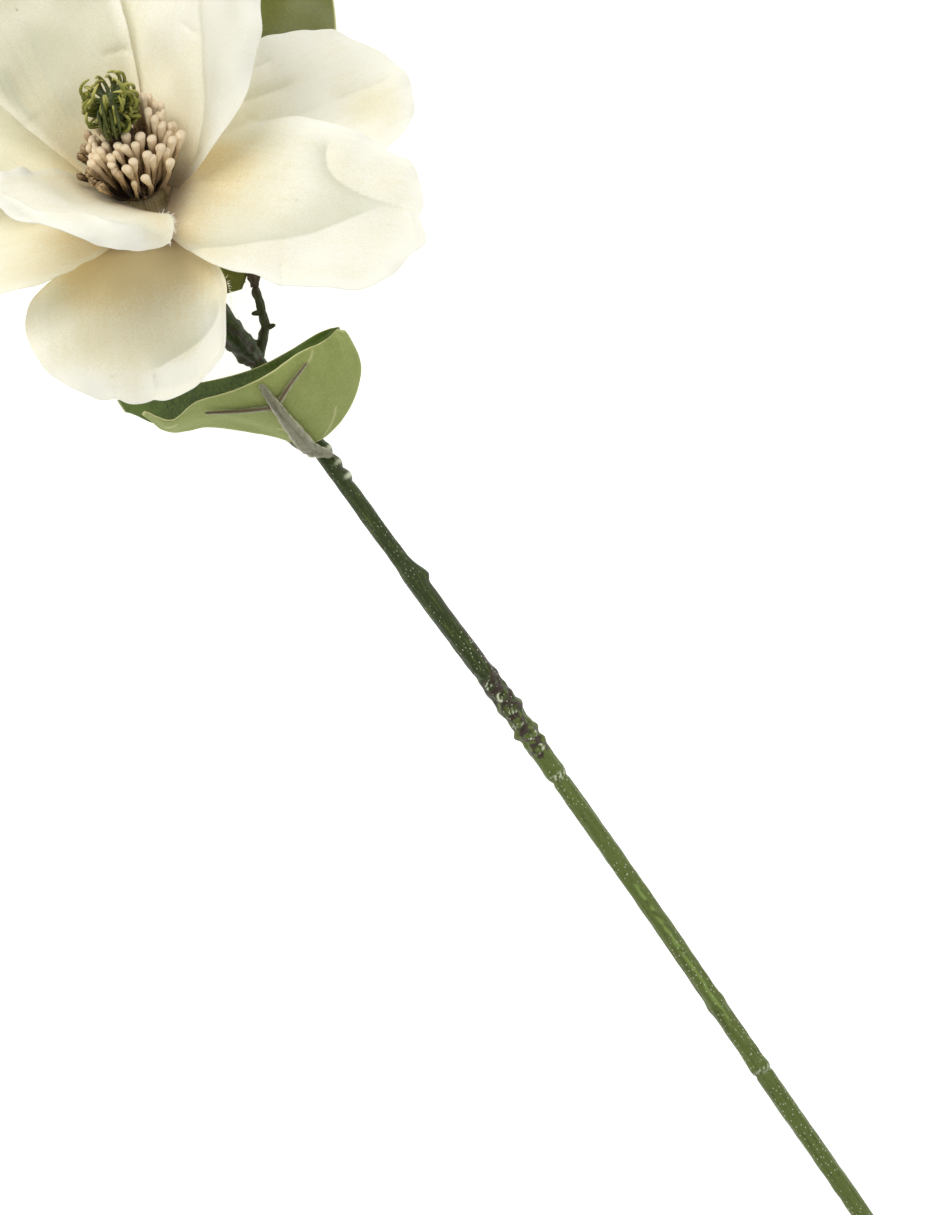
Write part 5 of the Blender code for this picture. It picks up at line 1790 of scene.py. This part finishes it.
    def add_rod(self, surface: Surface) -> None:
        """Adds the rod: its radius is a sum of ramps, bells and lobes of the distance from the cut end."""
        fine = curve_through(self.route, 1200)
        measured = run_along(fine)
        distance = np.arange(0.0, measured[-1], self.step)
        route = np.stack([np.interp(distance, measured, fine[:, k]) for k in range(3)], axis=-1)
        angle, s = ring_angles(self.sides)[None, :], distance[:, None]
        pale, stain_and_shade = np.zeros((2, len(distance), self.sides))
        radius = self.radius + (self.upper_radius - self.radius) * smooth((s - self.sleeves[1]) / self.upper_blend)
        radius = radius + (self.neck_radius - self.upper_radius) * smooth((s - self.bump_at) / self.neck_blend)
        radius = radius + self.joints(s, angle, pale)
        radius = radius + self.knobbed(s, angle, pale, stain_and_shade)
        past = s - self.bump_at
        fall = np.where(past > 0, self.bump_fall[1], self.bump_fall[0])
        radius = radius + self.bump_height * lobe(angle, math.pi / 2, 2) * bell(past, fall)
        radius = radius + self.sockets(s, angle, pale, stain_and_shade)
        for ripple in self.wear:
            radius = radius + ripple(angle, s)
        rings = sweep(route[None], radius[None], self.sides, UP)
        paints = {name: values[None] for name, values in self.colours(s, angle, pale, stain_and_shade).items()}
        add_tubes(surface, rings, 2 * math.pi * self.radius, distance, paints)

    def colours(self, s: Array, angle: Array, pale: Array, stain_and_shade: Array) -> dict[str, Array]:
        """The rod's painted values: lines and spots by turn and distance, broken by ripples, with a painted highlight
        along its top and along both sides.

        Args:
            s: distance from the cut end, down the rows.
            angle: turn round the rod from its top, along the columns.
            pale, stain_and_shade: the values of its relief, which the lines are added to.

        Returns:
            The values by name, rows by columns or one a row.
        """
        turn = wrapped(angle)
        # Painted highlight along both sides of the rod.
        pale = pale + self.glint(np.abs(turn)) * Ripple(24, (1.0, 6.0)).broken(angle, s, 0.0)
        stain_and_shade = stain_and_shade + self.smudge[0](turn) * self.smudge[1](s)
        stain_and_shade = stain_and_shade + self.side_brown(np.abs(turn)) * Ripple(28, (1.0, 12.0)).broken(angle, s, 0.6)
        stain_and_shade = stain_and_shade + self.brown_line(turn) * within(s, *self.brown_at)
        # Painted highlight: a broken lighter streak along the top of the lower rod.
        lit = (0.3 + 0.7 * within(s, *self.highlight_at)) * (1 - smooth((s - self.sleeves[1]) / 8.0))
        fresh = self.highlight_line(turn) * lit * Ripple(26, (1.0, 7.0), 0.6).broken(turn, s, 0.75)
        return {"pale": pale, "stain_and_shade": stain_and_shade, "fresh": fresh,
                "dark": 0.1 + 0.8 * smooth((s - self.sleeves[1] - 8.0) / 40.0),
                "speck": 1.0 - 0.45 * smooth((s - 275.0) / 25.0)}

    def joints(self, s: Array, angle: Array, pale: Array) -> Array:
        """The two joints: a swollen shoulder over a pinch, with a broken pale patch painted on top."""
        added = np.zeros_like(pale)
        patch = lobe(angle, 0.3) * Ripple(25, (0.6, 2.2), 0.5).broken(angle, s, 0.7)
        for place in self.sleeves:
            added += self.sleeve_height * self.shoulder(s - place) + self.pinch(s - place)
            pale += self.flake(s - place) * patch
        return added

    def sockets(self, s: Array, angle: Array, pale: Array, stain_and_shade: Array) -> Array:
        """The socket under the leaves: half rings, each with a groove before it, with a painted highlight on top and
        painted shade in the groove between.
        """
        added, facing = np.zeros_like(pale), lobe(angle, 1.0, 1.5)
        for place in self.socket_at:
            added += facing * sum(band(s - place) for band in self.socket_form)
            # Painted highlight on the top of each half ring, and painted shade in its groove.
            pale += facing * self.socket_highlight(s - place)
            stain_and_shade += facing * self.socket_shade(s - place)
        return added

    def knobbed(self, s: Array, angle: Array, pale: Array, stain_and_shade: Array) -> Array:
        """The knobby stretch: side knobs, and along its top bud scars with a broken ring of painted glints, a painted
        glint at the heart and a brown rim.

        Args:
            s, angle: distance from the cut end, and turn round the rod.
            pale, stain_and_shade: painted values, which are added to.

        Returns:
            What is added to the radius.
        """
        added = np.zeros_like(pale)
        for place, turn, height in self.knobs + self.nodes:
            facing = height * lobe(angle, math.radians(turn))
            added += facing * bell(s - place, self.knob_width + self.knob_soft)
            stain_and_shade += facing * self.knob_rim(s - place)
        for k, place in enumerate(self.scars):
            off = self.upper_radius * wrapped(angle - self.scar_lean * math.sin(2.3 * k))
            gap = np.hypot(off, s - place)
            added += sum(band(gap) for band in self.scar_form)
            open_side = smooth(0.6 + np.cos(np.arctan2(off, s - place) - 2.0 - 0.7 * k))
            broken = Ripple(40 + k, (1.6, 1.6), 0.7).broken(off, s, 0.75)
            # Painted glints on the scar's ring and heart.
            pale += (self.scar_ring(gap) * open_side + self.scar_heart(gap)) * broken
            stain_and_shade += self.scar_rim(gap) * Ripple(60 + k, (4.0, 4.0), 0.5).broken(off, s, 0.7)
        stain_and_shade += Band(257.0, 6.0, 0.45)(s) * smooth(np.sin(angle) + 0.4)
        lumps = Ripple(23, (1.3, 5.0), self.knobby_height)(angle, s)
        return added + within(s, *self.knobby) * (lumps - 0.12)


# Studio


@dataclass(frozen=True)
class Studio:
    """White table, soft light and the camera that looks straight down at the sheet.

    Fields:
        eye: the camera's place on the sheet.
        picture: the picture's width and height in pixels.
        mm_per_pixel, focus_z: the scale of the picture and the height above the table where it holds.
        sensor, far: the width of the camera's sensor in millimetres, and how far it sees in metres.
        lights: the soft lights, by name, place on the sheet, size in metres and power in watts.
        aim: what the lights are turned to.
        sky: the strength of the light from all around.
        floor_size, floor_drop: the floor's width, and how far it is under the table's plane, in metres.
    """

    eye: Point = (115.15, -146.125, 1221.0)
    picture: tuple[int, int] = (940, 1215)
    mm_per_pixel: float = 0.35
    focus_z: float = 40.0
    sensor: float = 36.0
    far: float = 10.0
    lights: tuple[tuple[str, Point, float, float], ...] = (
        ("key", (-300.0, 430.0, 860.0), 0.5, 4.8), ("fill", (620.0, -240.0, 700.0), 0.9, 1.0))
    aim: Point = (60.0, -60.0, 30.0)
    sky: float = 0.55
    floor_size: float = 3.0
    floor_drop: float = 0.0004

    def build(self) -> None:
        """Makes the floor, the lights and the camera."""
        scene = bpy.context.scene
        scene.view_settings.view_transform = "Standard"
        bpy.ops.mesh.primitive_plane_add(size=self.floor_size, location=(0.0, 0.0, -self.floor_drop))
        floor = bpy.context.object
        floor.name = "floor"
        floor.data.materials.append(FloorPaper().make())
        world = bpy.data.worlds.new("studio")
        world.use_nodes = True
        backdrop = world.node_tree.nodes["Background"].inputs
        backdrop["Color"].default_value = (1.0, 1.0, 1.0, 1.0)
        backdrop["Strength"].default_value = self.sky
        scene.world = world
        for light in self.lights:
            self.add_light(*light)
        self.add_camera()

    def add_light(self, name: str, place: Point, size: float, power: float) -> None:
        """Adds a square soft light at a place on the sheet, aimed at the bloom."""
        lamp = bpy.data.lights.new(name, "AREA")
        lamp.shape = "SQUARE"
        lamp.size = size
        lamp.energy = power
        light = bpy.data.objects.new(name, lamp)
        light.location = SHEET.to_row(place)
        towards = SHEET.to_row(self.aim) - SHEET.to_row(place)
        light.rotation_euler = Vector(towards).to_track_quat("-Z", "Y").to_euler()
        bpy.context.scene.collection.objects.link(light)

    def add_camera(self) -> None:
        """Adds the camera: focal length = sensor x distance / height of the picture at that distance."""
        camera = bpy.data.cameras.new("camera")
        distance = self.eye[2] - self.focus_z
        camera.sensor_width = self.sensor
        camera.lens = self.sensor * distance / (max(self.picture) * self.mm_per_pixel)
        camera.clip_end = self.far
        viewer = bpy.data.objects.new("camera", camera)
        up = SHEET.turned((0.0, 1.0, 0.0))
        viewer.location = SHEET.to_row(self.eye)
        viewer.rotation_euler = (0.0, 0.0, math.atan2(-up[0], up[1]))
        bpy.context.scene.collection.objects.link(viewer)
        bpy.context.scene.camera = viewer


def main() -> None:
    """Builds the studio, then every part of the flower."""
    logging.basicConfig(level=logging.INFO, format="%(name)s: %(message)s")
    Studio().build()
    Stem().build()
    Foliage().build()
    bloom = Bloom(PETALS)
    bloom.build()
    Heart(bloom).build()
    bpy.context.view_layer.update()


if __name__ == "__main__":
    main()
